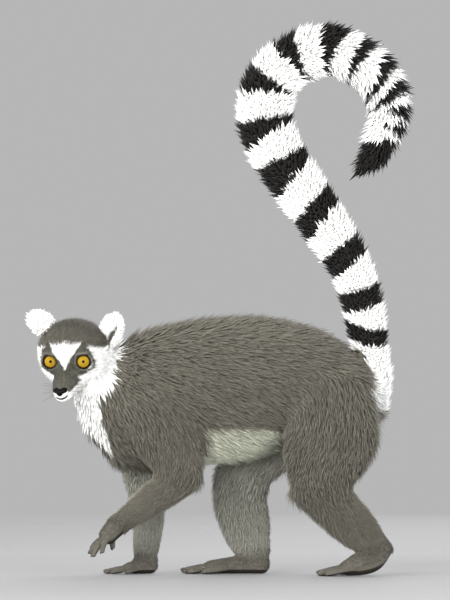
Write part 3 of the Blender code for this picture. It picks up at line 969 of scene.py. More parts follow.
def set_attribute(mesh: Mesh, name: str, values: Array, domain: str = "POINT") -> None:
    """Stores values on a mesh.

    Args:
        mesh: The mesh.
        name: The attribute's name.
        values: A number, a pair or a vector for each point or corner.
        domain: POINT or CORNER.
    """
    kind = "FLOAT" if values.ndim == 1 else {2: "FLOAT2", 3: "FLOAT_VECTOR"}[values.shape[1]]
    attribute = mesh.attributes.new(name, kind, domain)
    key = "value" if values.ndim == 1 else "vector"
    attribute.data.foreach_set(key, np.ascontiguousarray(values, np.float32).ravel())


# -------- materials


@dataclass(frozen=True)
class CoatFinish:
    """The colours of the coat and skin, in linear light.

    Attributes:
        grey: Back, flanks and the outer sides of the legs.
        white: Face, ears, bib and the tail's white rings.
        black: The tail's rings and tip.
        patch: Round the eyes and down the muzzle.
        cream: The belly.
        pale: The inner sides of the legs: a paler coat, made lighter still as painted light, since those
            sides get less light.
        short: Painted shade where the hair is short, standing in for the self-shadowing of long hair,
            without which short hair would look lighter than the long.
        bare: Lids, lips, palms and soles.
        ragged: How far the marks' edges wander, in millimetres.
        edge: How soft the marks' edges are, in millimetres.
    """

    grey: Colour = (0.168, 0.158, 0.129)
    white: Colour = (0.93, 0.93, 0.91)
    black: Colour = (0.009, 0.008, 0.007)
    patch: Colour = (0.090, 0.087, 0.069)
    cream: Colour = (0.55, 0.56, 0.452)
    # paler coat, lighter still as painted light on less lit sides
    pale: Colour = (0.370, 0.365, 0.315)
    # painted shade for short hair
    short: Colour = (0.110, 0.103, 0.084)
    bare: Colour = (0.016, 0.012, 0.010)
    ragged: float = 2.0
    edge: float = 0.8


COAT_FINISH = CoatFinish()


def socket(group: Tree, name: str, kind: str, value: object = None, to: str = "INPUT") -> None:
    """Adds an input or output to a node group."""
    made = group.interface.new_socket(name, in_out=to, socket_type=f"NodeSocket{kind}")
    if value is not None:
        made.default_value = value


class NodeGraph:
    """A short way to place and join nodes."""

    def __init__(self, tree: Tree) -> None:
        """Keeps the tree."""
        self.tree = tree

    def put(self, kind: str, inputs: dict[str | int, object] | None = None, **settings: object) -> Node:
        """Adds a node.

        Args:
            kind: Its type.
            inputs: Values or output sockets, by the input's name or number.
            **settings: Properties of the node.

        Returns:
            The node.
        """
        node = self.tree.nodes.new(kind)
        for name, value in settings.items():
            setattr(node, name, value)
        self.feed(node, inputs or {})
        return node

    def feed(self, node: Node, inputs: dict[str | int, object]) -> None:
        """Gives a node's inputs their values, or joins them to output sockets."""
        for name, value in inputs.items():
            if isinstance(value, Socket):
                self.tree.links.new(value, node.inputs[name])
            else:
                node.inputs[name].default_value = value

    def math(self, operation: str, *values: object) -> Socket:
        """A sum on numbers."""
        return self.put("ShaderNodeMath", dict(enumerate(values)), operation=operation).outputs[0]

    def vector(self, operation: str, *values: object) -> Socket:
        """A sum on vectors."""
        return self.put("ShaderNodeVectorMath", dict(enumerate(values)), operation=operation).outputs[0]

    def scaled(self, vector: object, by: object) -> Socket:
        """A vector or colour times a number."""
        return self.put("ShaderNodeVectorMath", {0: vector, "Scale": by}, operation="SCALE").outputs[0]

    def blend(self, factor: object, one: object, other: object) -> Socket:
        """A colour between two others."""
        return self.put("ShaderNodeMix", {0: factor, 6: one, 7: other}, data_type="RGBA").outputs[2]

    def spread(self, value: Socket, *ends: object, smooth: bool = False) -> Socket:
        """Moves a number from one span to another.

        Args:
            value: The number.
            *ends: The span it moves to, or the span it comes from and then the one it moves to.
            smooth: Whether it slows down at both ends.

        Returns:
            The moved number.
        """
        names = ("From Min", "From Max", "To Min", "To Max")[-len(ends):]
        kind = "SMOOTHSTEP" if smooth else "LINEAR"
        inputs = {"Value": value, **dict(zip(names, ends))}
        return self.put("ShaderNodeMapRange", inputs, interpolation_type=kind).outputs["Result"]

    def attribute(self, name: str) -> Socket:
        """A number stored on the mesh, in a material."""
        return self.put("ShaderNodeAttribute", attribute_name=name).outputs["Fac"]

    def place(self) -> Socket:
        """The place on the piece."""
        return self.put("ShaderNodeTexCoord").outputs["Object"]

    def bump(self, shader: Node, height: Socket, strength: float, distance: float) -> None:
        """Gives a shader a fine relief."""
        inputs = {"Height": height, "Strength": strength, "Distance": distance}
        self.feed(shader, {"Normal": self.put("ShaderNodeBump", inputs).outputs["Normal"]})


def marks_group() -> Tree:
    """Builds the group that colours the coat and skin by the marks' depths."""
    group = bpy.data.node_groups.new("lemur_marks", "ShaderNodeTree")
    for name in ("Grey", "White", "Black", "Patch", "Cream", "Pale", "Short"):
        socket(group, name, "Color", (*getattr(COAT_FINISH, name.lower()), 1))
    socket(group, "Ragged", "Float", COAT_FINISH.ragged)
    socket(group, "Edge", "Float", COAT_FINISH.edge)
    socket(group, "Colour", "Color", to="OUTPUT")
    socket(group, "Whiteness", "Float", to="OUTPUT")
    per_metre, soft_reach = 180.0, 5.0
    graph = NodeGraph(group)
    given = graph.put("NodeGroupInput").outputs
    noise = {"Vector": graph.place(), "Scale": per_metre, "Detail": 2.0}
    wander = graph.math("SUBTRACT", graph.put("ShaderNodeTexNoise", noise).outputs["Fac"], 0.5)
    wander = graph.math("MULTIPLY", wander, given["Ragged"])
    colour, shares = given["Grey"], {}
    # Short is painted shade on short hair
    for name in ("Pale", "Short", "Cream", "White", "Patch", "Black"):
        depth = graph.math("ADD", graph.attribute(name.lower()), graph.math("MULTIPLY", wander, 2.0))
        reach = soft_reach if name in ("Pale", "Short") else given["Edge"]
        low = graph.math("MULTIPLY", reach, -1.0)
        shares[name] = graph.spread(depth, low, reach, 0.0, 1.0, smooth=True)
        colour = graph.blend(shares[name], colour, given[name])
    graph.put("NodeGroupOutput", {"Colour": colour, "Whiteness": shares["White"]})
    return group


def new_material(name: str, **values: object) -> tuple[Material, NodeGraph, Node]:
    """A material with its graph and its Principled node, whose constant values are given by input name."""
    material = bpy.data.materials.new(name)
    material.use_nodes = True
    shader = material.node_tree.nodes["Principled BSDF"]
    for key, value in values.items():
        shader.inputs[key.replace("_", " ")].default_value = value
    return material, NodeGraph(material.node_tree), shader


def coat_material(marks: Tree) -> Material:
    """The hair: painted shade darkens each tuft towards its root, much less on white hair, and each tuft is
    a little lighter or darker than its neighbours.
    """
    material, graph, shader = new_material("lemur_coat", Roughness=0.75, Specular_IOR_Level=0.25)
    marked = graph.put("ShaderNodeGroup", node_tree=marks).outputs
    white = marked["Whiteness"]
    tip, tone = graph.attribute("tip"), graph.attribute("tone")
    # root: painted shade at each tuft's root, for grey and for white hair; darkest and lightest: each tuft's
    # random tone
    shade_and_tone_spans = {"root": (0.7, 0.95), "darkest": (0.86, 0.97), "lightest": (1.13, 1.03)}
    root, low, high = (graph.spread(white, *ends) for ends in shade_and_tone_spans.values())
    # the tip's end of the painted root shade
    bright_tip = 1.08
    shade_and_tone = graph.math("MULTIPLY", graph.spread(tip, root, bright_tip), graph.spread(tone, low, high))
    graph.feed(shader, {"Base Color": graph.scaled(marked["Colour"], shade_and_tone)})
    return material


def skin_material(marks: Tree) -> Material:
    """The skin: the coat's marks in short flat hair, and bare dark skin on lids, lips, palms and soles."""
    material, graph, shader = new_material("lemur_skin", Roughness=0.7, Specular_IOR_Level=0.3)
    colour = graph.put("ShaderNodeGroup", node_tree=marks).outputs["Colour"]
    edge, per_metre = 0.3, 900.0
    bare = graph.spread(graph.attribute("bare"), -edge, edge, 0.0, 1.0)
    noise = {"Vector": graph.place(), "Scale": per_metre, "Detail": 3.0}
    fine = graph.put("ShaderNodeTexNoise", noise).outputs["Fac"]
    shaded = graph.scaled(colour, graph.spread(fine, 0.7, 1.1))
    graph.feed(shader, {"Base Color": graph.blend(bare, shaded, (*COAT_FINISH.bare, 1))})
    graph.bump(shader, fine, strength=0.35, distance=0.0008)
    return material


# -------- skin


@dataclass
class Skin:
    """The skin's mesh with all that the coat needs to know at each point.

    Attributes:
        stretches: The stretches of the body.
        blend: How far the coat's lie and depth blend between stretches, in millimetres.
        nose: Where the coat of the head starts, in the head's frame.
        trunk_lie: The way that the coat lies on the trunk.
        neck_fall: How far the coat hangs down on the neck.
        thinner: The depth into bare skin over which the coat thins out, and the least share that stays.
        under: The least share of down in the normals of palms and soles, and how fast they turn bare.
    """

    stretches: list[Stretch] = field(default_factory=body_stretches)
    blend: float = 4.0
    nose: Triple = (0, 46, -12)
    trunk_lie: Triple = (1.0, 0, -0.4)
    neck_fall: float = 0.9
    thinner: Pair = (9, 0.45)
    under: Pair = (0.55, 5)

    def build(self) -> None:
        """Makes the surface and reads every stretch at its points."""
        self.points, self.faces = surface_net(skin_field(self.stretches), GRID)
        LOG.info("skin: %d points, %d faces", len(self.points), len(self.faces))
        self.mesh = mesh_from("skin", LAYOUT.to_frame(self.points), self.faces)
        normals = np.zeros(self.points.size, np.float32)
        self.mesh.vertex_normals.foreach_get("vector", normals)
        self.normals = normals.reshape(-1, 3).astype(float)
        self.read_stretches()

    def read_stretches(self) -> None:
        """Works out the coat's lie, depth and marks, and the place round and along the nearest stretch."""
        count, reach, near_end, far_end = len(self.points), 14, -12, 40
        lie = np.zeros((count, 3))
        total, coat, lift, along, angle = np.zeros((5, count))
        best, owner = np.full(count, np.inf), np.zeros(count, int)
        for number, stretch in enumerate(self.stretches):
            low, high = stretch.box(reach)
            near = np.flatnonzero(((self.points > low) & (self.points < high)).all(axis=1))
            if not len(near):
                continue
            reading = stretch.measure(self.points[near])
            weight = np.exp(-np.clip(reading.distance, near_end, far_end) / self.blend)
            total[near] += weight
            lie[near] += self.flow_of(stretch, near, reading) * weight[:, None]
            coat[near] += reading.coat * weight
            lift[near] += stretch.lift * weight
            closer = reading.distance < best[near]
            chosen = near[closer]
            best[chosen], owner[chosen] = reading.distance[closer], number
            along[chosen], angle[chosen] = reading.along[closer], reading.angle[closer]
        self.lie = unit(lie - np.einsum("ij,ij->i", lie, self.normals)[:, None] * self.normals)
        self.coat, self.lift = coat / total, np.radians(lift / total)
        self.owner, self.along, self.angle = owner, along, angle
        self.names = np.array([stretch.name for stretch in self.stretches])[owner]
        tail = next(stretch for stretch in self.stretches if stretch.name == "tail").measure(self.points)
        self.marks = mark_depths(self.points, self.normals, self.names, self.coat, tail)
        self.marks["bare"] = self.bare_depth()
        depth, least = self.thinner
        self.coat *= np.clip(least - self.marks["bare"] / depth, least, 1)

    def flow_of(self, stretch: Stretch, near: Array, reading: Reading) -> Array:
        """The way that the coat lies on a stretch, at chosen points."""
        if stretch.name in ("skull", "muzzle"):
            return unit(self.points[near] - HEAD.outward(np.array([self.nose]))[0])
        if stretch.name == "trunk":
            return np.tile(unit(np.array(self.trunk_lie)), (len(near), 1))
        if stretch.name == "neck":
            return unit(-reading.ahead + np.array([0.0, 0, -self.neck_fall]))
        return reading.ahead * stretch.flow

    def bare_depth(self) -> Array:
        """How deep points lie in bare skin: lids' rims, the line between the lips, palms and soles."""
        seen = HEAD.inward(self.points)
        bare = np.full(len(seen), FAR_OUT)
        middle = FACE.eye_radius + FACE.lid
        outermost = middle + 1.4 * FACE.lid
        for side in Side:
            offset = seen - FACE.eye_centre(side)
            far = np.linalg.norm(offset, axis=1)
            turn = np.arccos(np.clip(offset @ FACE.opening_way(side) / far, -1, 1))
            spread = (turn - math.asin(FACE.opening / middle)) * middle
            bare = np.maximum(bare, np.minimum(FACE.rim - spread, outermost - far))
            line = side.mirrored(FACE.mouth[: FACE.dark])
            for start, end in zip(line, line[1:]):
                bare = np.maximum(bare, FACE.lips - capsule_distance(seen, start, end))
        least, fast = self.under
        return np.where(starts_with(self.names, "hand", "foot"), (-self.normals[:, 2] - least) * fast, bare)

    def finish(self, material: Material) -> None:
        """Stores the marks and adds the piece."""
        self.store(self.mesh, np.arange(len(self.points)))
        piece = add_piece("skin", self.mesh, material)
        solids = [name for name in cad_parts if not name.startswith(("eye", "nose"))]
        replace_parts(piece, *solids)

    def store(self, mesh: Mesh, kept: Array) -> None:
        """Stores the marks and bareness of the kept points on a mesh."""
        for name, depth in self.marks.items():
            set_attribute(mesh, name, depth[kept])


# -------- coat


@dataclass(frozen=True)
class Strand:
    """One pointed strand of a tuft, for a tuft of length and width one.

    Attributes:
        side: How far its root is to the side.
        splay: How far its tip is further to the side.
        length: Its length.
        width: Its half width.
        levels: The heights of its bends.
        bow: How far its middle stands out.
    """

    side: float
    splay: float
    length: float
    width: float
    levels: Row = ()
    bow: float = 0.36


class Tuft(Enum):
    """The kinds of tufts."""

    WISP = (Strand(0, 0, 1, 0.45, (0.5,)), Strand(0.6, 0.5, 0.78, 0.34))
    NAP = (Strand(-0.25, -0.2, 1, 0.4), Strand(0.5, 0.3, 0.75, 0.36))
    SPIKE = (
        Strand(-0.42, 0.36, 0.86, 0.17), Strand(-0.15, 0.13, 1, 0.18, (0.5,), 0.15),
        Strand(0.15, -0.13, 0.94, 0.18, (0.5,), 0.15), Strand(0.42, -0.36, 0.82, 0.17),
    )
    WHISKER = (Strand(0, 0, 1, 1, (0.25, 0.5, 0.75), 14.0),)

    def prototype(self) -> Object:
        """The tuft as an object: root at the origin, pointing along Z, the coat's outside towards Y."""
        mesh = bmesh.new()
        tips = []
        sunk, thick, thinning, bend, share = -0.06, 0.55, 0.56, 1.3, 0.6
        for strand in self.value:
            rings = []
            for height in (sunk, *strand.levels):
                ring = []
                raised = max(height, 0)
                size = 1 - thinning * raised
                lifted = strand.bow * 4 * raised * (1 - height)
                for turn in (90, 210, 330):
                    x = strand.side + strand.splay * raised**bend
                    x += math.cos(math.radians(turn)) * strand.width * size
                    y = math.sin(math.radians(turn)) * strand.width * thick * size
                    ring.append(mesh.verts.new((x, y + lifted, height * strand.length)))
                    tips.append(raised * strand.length)
                rings.append(ring)
            point = mesh.verts.new((strand.side + strand.splay, 0, strand.length))
            tips.append(1.0)
            mesh.faces.new(reversed(rings[0]))
            for near, far in zip(rings, rings[1:]):
                for k in range(3):
                    mesh.faces.new((near[k - 1], near[k], far[k], far[k - 1]))
            for k in range(3):
                mesh.faces.new((rings[-1][k - 1], rings[-1][k], point))
        bmesh.ops.recalc_face_normals(mesh, faces=mesh.faces)
        bmesh.ops.triangulate(mesh, faces=mesh.faces)
        data = bpy.data.meshes.new(f"tuft_{self.name.lower()}")
        mesh.to_mesh(data)
        mesh.free()
        data.shade_smooth()
        set_attribute(data, "tip", np.array(tips))
        corners = np.array([data.vertices[loop.vertex_index].co[:] for loop in data.loops])
        low, high = corners.min(axis=0), corners.max(axis=0)
        flat = (corners - low) / (high - low)
        around = share * flat[:, 0] + (1 - share) * flat[:, 1]
        set_attribute(data, "tuft_uv", np.stack([around, flat[:, 2]], axis=1), "CORNER")
        return link_object(data.name, data)


class Draw(Enum):
    """The random draws for each tuft, as steps from its region's seed."""

    TONE = 11
    LIFT = 12
    STRAY_X = 13
    STRAY_Y = 14
    STRAY_Z = 15
    LENGTH = 17
    WIDTH = 18


class CoatTree(NodeGraph):
    """The Geometry Nodes tree that plants a coat on a stretch of skin.

    Attributes:
        SIZES: The tree's number inputs, in metres or as shares. The patch is a tuft's on the unwrap.
        AROUND_ONE: How much the tufts' widths and lifts vary.
        LONGEST: The longest tuft, for a tuft of length one.
        SHORTENING: How much of the unevenness each tuft loses.
    """

    SIZES = {"Spacing": 0.0018, "Width": 0.0015, "Stray": 0.2, "Clump": 0.3, "Uneven": 0.2, "Patch": 0.003}
    AROUND_ONE = (0.75, 1.25)
    LONGEST = 1.1
    SHORTENING = (0, 1.8)

    def __init__(self) -> None:
        """Builds the tree."""
        super().__init__(bpy.data.node_groups.new("lemur_coat", "GeometryNodeTree"))
        socket(self.tree, "Geometry", "Geometry")
        socket(self.tree, "Tuft", "Object")
        for name, value in self.SIZES.items():
            socket(self.tree, name, "Float", value)
        socket(self.tree, "Seed", "Int", 1)
        socket(self.tree, "Material", "Material")
        socket(self.tree, "Geometry", "Geometry", to="OUTPUT")
        self.given = self.put("NodeGroupInput").outputs
        outwards = self.read("outwards", "FLOAT_VECTOR")
        tuft = self.put("GeometryNodeObjectInfo", {"Object": self.given["Tuft"]}).outputs["Geometry"]
        turn = self.turn_along(self.way(outwards), outwards)
        copies = self.put(
            "GeometryNodeInstanceOnPoints",
            {"Points": self.roots(), "Instance": tuft, "Rotation": turn, "Scale": self.size()},
        ).outputs[0]
        real = self.put("GeometryNodeRealizeInstances", {"Geometry": copies}).outputs[0]
        middle = self.vector("SUBTRACT", self.read("tuft_uv", "FLOAT_VECTOR"), (0.5, 0.5, 0.0))
        where = self.read("root_uv", "FLOAT_VECTOR")
        where = self.vector("ADD", where, self.scaled(middle, self.given["Patch"]))
        mapped = self.keep(real, "OFBake", where, "FLOAT2", "CORNER")
        inputs = {"Geometry": mapped, "Material": self.given["Material"]}
        self.put("NodeGroupOutput", {"Geometry": self.put("GeometryNodeSetMaterial", inputs).outputs[0]})

    def read(self, name: str, kind: str = "FLOAT") -> Socket:
        """A named attribute."""
        node = self.put("GeometryNodeInputNamedAttribute", {"Name": name}, data_type=kind)
        return node.outputs["Attribute"]

    def keep(self, geometry: Socket, name: str, value: Socket, kind: str, domain: str = "POINT") -> Socket:
        """The geometry with a value stored under a name."""
        inputs = {"Geometry": geometry, "Name": name, "Value": value}
        return self.put("GeometryNodeStoreNamedAttribute", inputs, data_type=kind, domain=domain).outputs[0]

    def chance(self, low: float, high: float, draw: Draw) -> Socket:
        """A random number for each tuft."""
        seed = self.math("ADD", self.given["Seed"], float(draw.value))
        inputs = {2: low, 3: high, "Seed": seed}
        return self.put("FunctionNodeRandomValue", inputs, data_type="FLOAT").outputs[1]

    def roots(self) -> Socket:
        """The tufts' roots, each with its tone and the way out of the skin."""
        spacing, crowding = self.given["Spacing"], 2.2
        planted = self.put(
            "GeometryNodeDistributePointsOnFaces",
            {"Mesh": self.given["Geometry"], "Distance Min": spacing, "Seed": self.given["Seed"]},
            distribute_method="POISSON",
        )
        dense = self.math("DIVIDE", crowding, self.math("MULTIPLY", spacing, spacing))
        self.feed(planted, {"Density Max": dense, "Density Factor": self.read("growth")})
        points = self.keep(planted.outputs["Points"], "outwards", planted.outputs["Normal"], "FLOAT_VECTOR")
        return self.keep(points, "tone", self.chance(0, 1, Draw.TONE), "FLOAT")

    def way(self, outwards: Socket) -> Socket:
        """The way that each tuft points: the coat's lie, lifted, with its stray and its clump."""
        per_metre = 100.0
        lift = self.math("MULTIPLY", self.read("lift"), self.chance(*self.AROUND_ONE, Draw.LIFT))
        flat = self.scaled(self.read("lie", "FLOAT_VECTOR"), self.math("COSINE", lift))
        way = self.vector("ADD", flat, self.scaled(outwards, self.math("SINE", lift)))
        draws = enumerate((Draw.STRAY_X, Draw.STRAY_Y, Draw.STRAY_Z))
        axes = {axis: self.chance(-1, 1, draw) for axis, draw in draws}
        stray = self.put("ShaderNodeCombineXYZ", axes).outputs[0]
        way = self.vector("ADD", way, self.scaled(stray, self.given["Stray"]))
        noise = self.put("ShaderNodeTexNoise", {"Scale": per_metre, "Detail": 1.0}).outputs["Color"]
        clump = self.vector("SUBTRACT", noise, (0.5, 0.5, 0.5))
        return self.vector("ADD", way, self.scaled(clump, self.given["Clump"]))

    def turn_along(self, way: Socket, outwards: Socket) -> Socket:
        """The turn that points a tuft along its way, with its bow outwards."""
        turn = self.put("FunctionNodeAlignRotationToVector", {"Vector": way}, axis="Z").outputs[0]
        inputs = {"Rotation": turn, "Vector": outwards}
        return self.put("FunctionNodeAlignRotationToVector", inputs, axis="Y", pivot_axis="Z").outputs[0]

    def size(self) -> Socket:
        """Each tuft's width and length."""
        short = self.math("MULTIPLY", self.given["Uneven"], self.chance(*self.SHORTENING, Draw.LENGTH))
        length = self.math("MULTIPLY", self.read("tuft"), self.math("SUBTRACT", self.LONGEST, short))
        width = self.math("MULTIPLY", self.given["Width"], self.chance(*self.AROUND_ONE, Draw.WIDTH))
        return self.put("ShaderNodeCombineXYZ", {0: width, 1: width, 2: length}).outputs[0]


@dataclass(frozen=True)
class CoatRegion:
    """A stretch of the coat that is a piece of its own. A face of the skin goes to the first that covers it.

    Attributes:
        name: The piece's name.
        owners: What the names of its stretches start with.
        slot: The name of a finish for it; it is not used.
        tuft: The kind of tuft.
        spacing: Between tufts, in millimetres.
        width: A tuft's width, in millimetres.
        stray: How much the tufts' directions vary one by one.
        clump: How much they vary together.
        uneven: How much the tufts' lengths vary.
        side: The side of the body, where it covers only one.
        along: The stretch's length that it covers, where it isn't all.
        within: The limits on the distance from the head's middle, forward and up that it keeps to.
        hair: The tufts' length in millimetres and lift in degrees, where they aren't the coat's own.
    """

    name: str
    owners: tuple[str, ...]
    slot: str
    tuft: Tuft
    spacing: float
    width: float
    stray: float = 0.14
    clump: float = 0.35
    uneven: float = 0.2
    side: Side | None = None
    along: Pair | None = None
    within: Rows | None = None
    hair: Pair | None = None


CHEEKS = ((18, 99), (-99, -9), (-99, 9))
WHISKER_PADS = ((7.5, 99), (22, 36), (-31, -19))
TRUNK_TUFTS = (("trunk",), "coat_grey", Tuft.WISP, 1.75, 1.6)
THIN_TAIL_TUFTS = (Tuft.SPIKE, 2.4, 4.2, 0.14, 0.8, 0.3)
TIP_TUFTS = (Tuft.SPIKE, 2.3, 4.4, 0.14, 0.8, 0.32)
TAIL_TUFTS = (("tail",), "coat_white", Tuft.SPIKE, 2.5, 4.8, 0.14, 0.9, 0.32)
COAT_REGIONS = [
    CoatRegion("coat_ears", ("ear",), "coat_white", Tuft.SPIKE, 1.3, 2.2, 0.2, 0.8, 0.35, hair=(5.6, 18)),
    CoatRegion("coat_cheeks", ("skull",), "coat_white", Tuft.SPIKE, 1.6, 2.6, 0.16, 0.5, 0.3, within=CHEEKS),
    CoatRegion("coat_face", ("skull", "muzzle"), "coat_white", Tuft.NAP, 1.15, 0.95, 0.12, 0.2),
    CoatRegion("coat_neck", ("neck",), "coat_grey", Tuft.SPIKE, 1.9, 3.2, uneven=0.3),
    CoatRegion("coat_trunk_left", *TRUNK_TUFTS, side=Side.LEFT),
    CoatRegion("coat_trunk_right", *TRUNK_TUFTS, side=Side.RIGHT),
    CoatRegion("coat_forelegs", ("upper_arm", "forearm"), "coat_grey", Tuft.WISP, 1.6, 1.4),
    CoatRegion("coat_hindleg_left", ("thigh_left", "shank_left"), "coat_grey", Tuft.WISP, 1.7, 1.5),
    CoatRegion("coat_hindleg_right", ("thigh_right", "shank_right"), "coat_grey", Tuft.WISP, 1.7, 1.5),
    CoatRegion("coat_paws", ("hand", "foot"), "coat_pale_grey", Tuft.NAP, 1.25, 0.9, 0.12, 0.1),
    CoatRegion("coat_tail_base", ("tail",), "coat_white", *THIN_TAIL_TUFTS, along=(-9, 175)),
    CoatRegion("coat_tail_middle", *TAIL_TUFTS, along=(175, 340)),
    CoatRegion("coat_tail_hook", *TAIL_TUFTS, along=(340, 480)),
    CoatRegion("coat_tail_tip", ("tail",), "coat_black", *TIP_TUFTS, along=(480, 999)),
]
WHISKERS = CoatRegion(
    "whiskers", ("muzzle",), "nose_black", Tuft.WHISKER, 3.6, 0.13, 0.25, 0.1, 0.25,
    within=WHISKER_PADS, hair=(23, 48),
)
FIRST_SEED = 20


@dataclass
class Coat:
    """All the coat, grown region by region on the skin.

    Attributes:
        skin: The skin.
        material: The hair's material.
        whisker: The whiskers' material.
        growth_starts: How far from bare skin the coat starts.
        margin: The share of an unwrapped column that stays free round it.
        overlap: How far the angles of a column's corners may pass a full turn.
    """

    skin: Skin
    material: Material
    whisker: Material
    growth_starts: float = 0.4
    margin: float = 0.01
    overlap: float = 0.05

    def grow(self) -> int:
        """Grows every region.

        Returns:
            The coat's triangles.
        """
        tree = CoatTree().tree
        tufts = {kind: kind.prototype() for kind in Tuft}
        total = 0
        free = np.ones(len(self.skin.faces), bool)
        for seed, region in enumerate((*COAT_REGIONS, WHISKERS), FIRST_SEED):
            covered = self.covers(region)
            if region is not WHISKERS:
                covered &= free
                free &= ~covered
            ground = self.ground_of(region, self.skin.faces[covered])
            count = len(self.plant(region, ground, tree, tufts[region.tuft], seed).data.polygons)
            total += count
            LOG.info("%s: %d triangles", region.name, count)
        for tuft in tufts.values():
            bpy.data.objects.remove(tuft)
        return total

    def covers(self, region: CoatRegion) -> Array:
        """Whether a region covers each of the skin's faces."""
        first = self.skin.faces[:, 0]
        chosen = starts_with(self.skin.names[first], *region.owners)
        if region.side:
            chosen &= np.sign(self.skin.points[first, 1] + 1e-6) == region.side.value
        if region.along:
            along = self.skin.along[first]
            chosen &= (along >= region.along[0]) & (along < region.along[1])
        if region.within:
            seen = HEAD.inward(self.skin.points[first])
            seen[:, 0] = np.abs(seen[:, 0])
            low, high = np.array(region.within).T
            chosen &= ((seen > low) & (seen < high)).all(axis=1)
        return chosen

    def ground_of(self, region: CoatRegion, faces: Array) -> Object:
        """Some faces of the skin as an object of their own, with what the tree reads."""
        skin = self.skin
        kept, index = np.unique(faces, return_inverse=True)
        mesh = mesh_from(region.name, LAYOUT.to_frame(skin.points[kept]), index.reshape(faces.shape))
        lift, tuft = skin.lift[kept], skin.coat[kept] / np.sin(skin.lift[kept])
        if region.hair:
            length, angle = region.hair
            lift, tuft = np.full(len(kept), math.radians(angle)), np.full(len(kept), length)
        set_attribute(mesh, "lie", skin.lie[kept])
        set_attribute(mesh, "lift", lift)
        set_attribute(mesh, "tuft", tuft * MM)
        growth = np.clip(-skin.marks["bare"][kept] - self.growth_starts, 0, 1)
        set_attribute(mesh, "growth", growth)
        skin.store(mesh, kept)
        set_attribute(mesh, "root_uv", self.unwrap(faces), "CORNER")
        return link_object(region.name, mesh)

    def unwrap(self, faces: Array) -> Array:
        """Unrolls each stretch into a column of its own.

        Args:
            faces: The faces, as the skin's points.

        Returns:
            The place of each corner.
        """
        skin = self.skin
        owners = skin.owner[faces[:, 0]]
        angle = skin.angle[faces]
        angle = angle[:, :1] + (angle - angle[:, :1] + 0.5) % 1 - 0.5
        places = np.zeros((*faces.shape, 2))
        start, used = 0.0, 1 - 2 * self.margin
        for owner in np.unique(owners):
            mine = owners == owner
            share = mine.mean()
            length = max(skin.stretches[owner].length, 1)
            turned = np.clip((angle[mine] + self.overlap) / (1 + 2 * self.overlap), 0, 1)
            reading = np.clip(skin.along[faces[mine]] / length, 0, 1)
            low, high = reading.min(), reading.max()
            places[mine, :, 0] = start + self.margin * share + turned * share * used
            places[mine, :, 1] = self.margin + (reading - low) / max(high - low, 1e-6) * used
            start += share
        return places.reshape(-1, 2)

    def plant(self, region: CoatRegion, ground: Object, tree: Tree, tuft: Object, seed: int) -> Object:
        """Grows one region.

        Args:
            region: The region.
            ground: Its skin.
            tree: The tree that plants tufts.
            tuft: The tuft to plant.
            seed: The seed for the random choices.

        Returns:
            The piece of coat.
        """
        modifier = ground.modifiers.new("coat", "NODES")
        modifier.node_group = tree
        values = {
            "Tuft": tuft,
            "Spacing": region.spacing * MM,
            "Width": region.width * MM,
            "Stray": region.stray,
            "Clump": region.clump,
            "Uneven": region.uneven,
            "Patch": CoatTree.SIZES["Patch"],
            "Seed": seed,
            "Material": self.whisker if region is WHISKERS else self.material,
        }
        for item in tree.interface.items_tree:
            if item.name in values:
                modifier[item.identifier] = values[item.name]
        graph = bpy.context.evaluated_depsgraph_get()
        mesh = bpy.data.meshes.new_from_object(ground.evaluated_get(graph))
        mesh.name = region.name
        bpy.data.objects.remove(ground)
        for name in ("lie", "lift", "tuft", "growth", "root_uv", "tuft_uv", "outwards", "bare"):
            if name in mesh.attributes:
                mesh.attributes.remove(mesh.attributes[name])
        return add_piece(region.name, mesh)


# -------- eyes, nose and nails


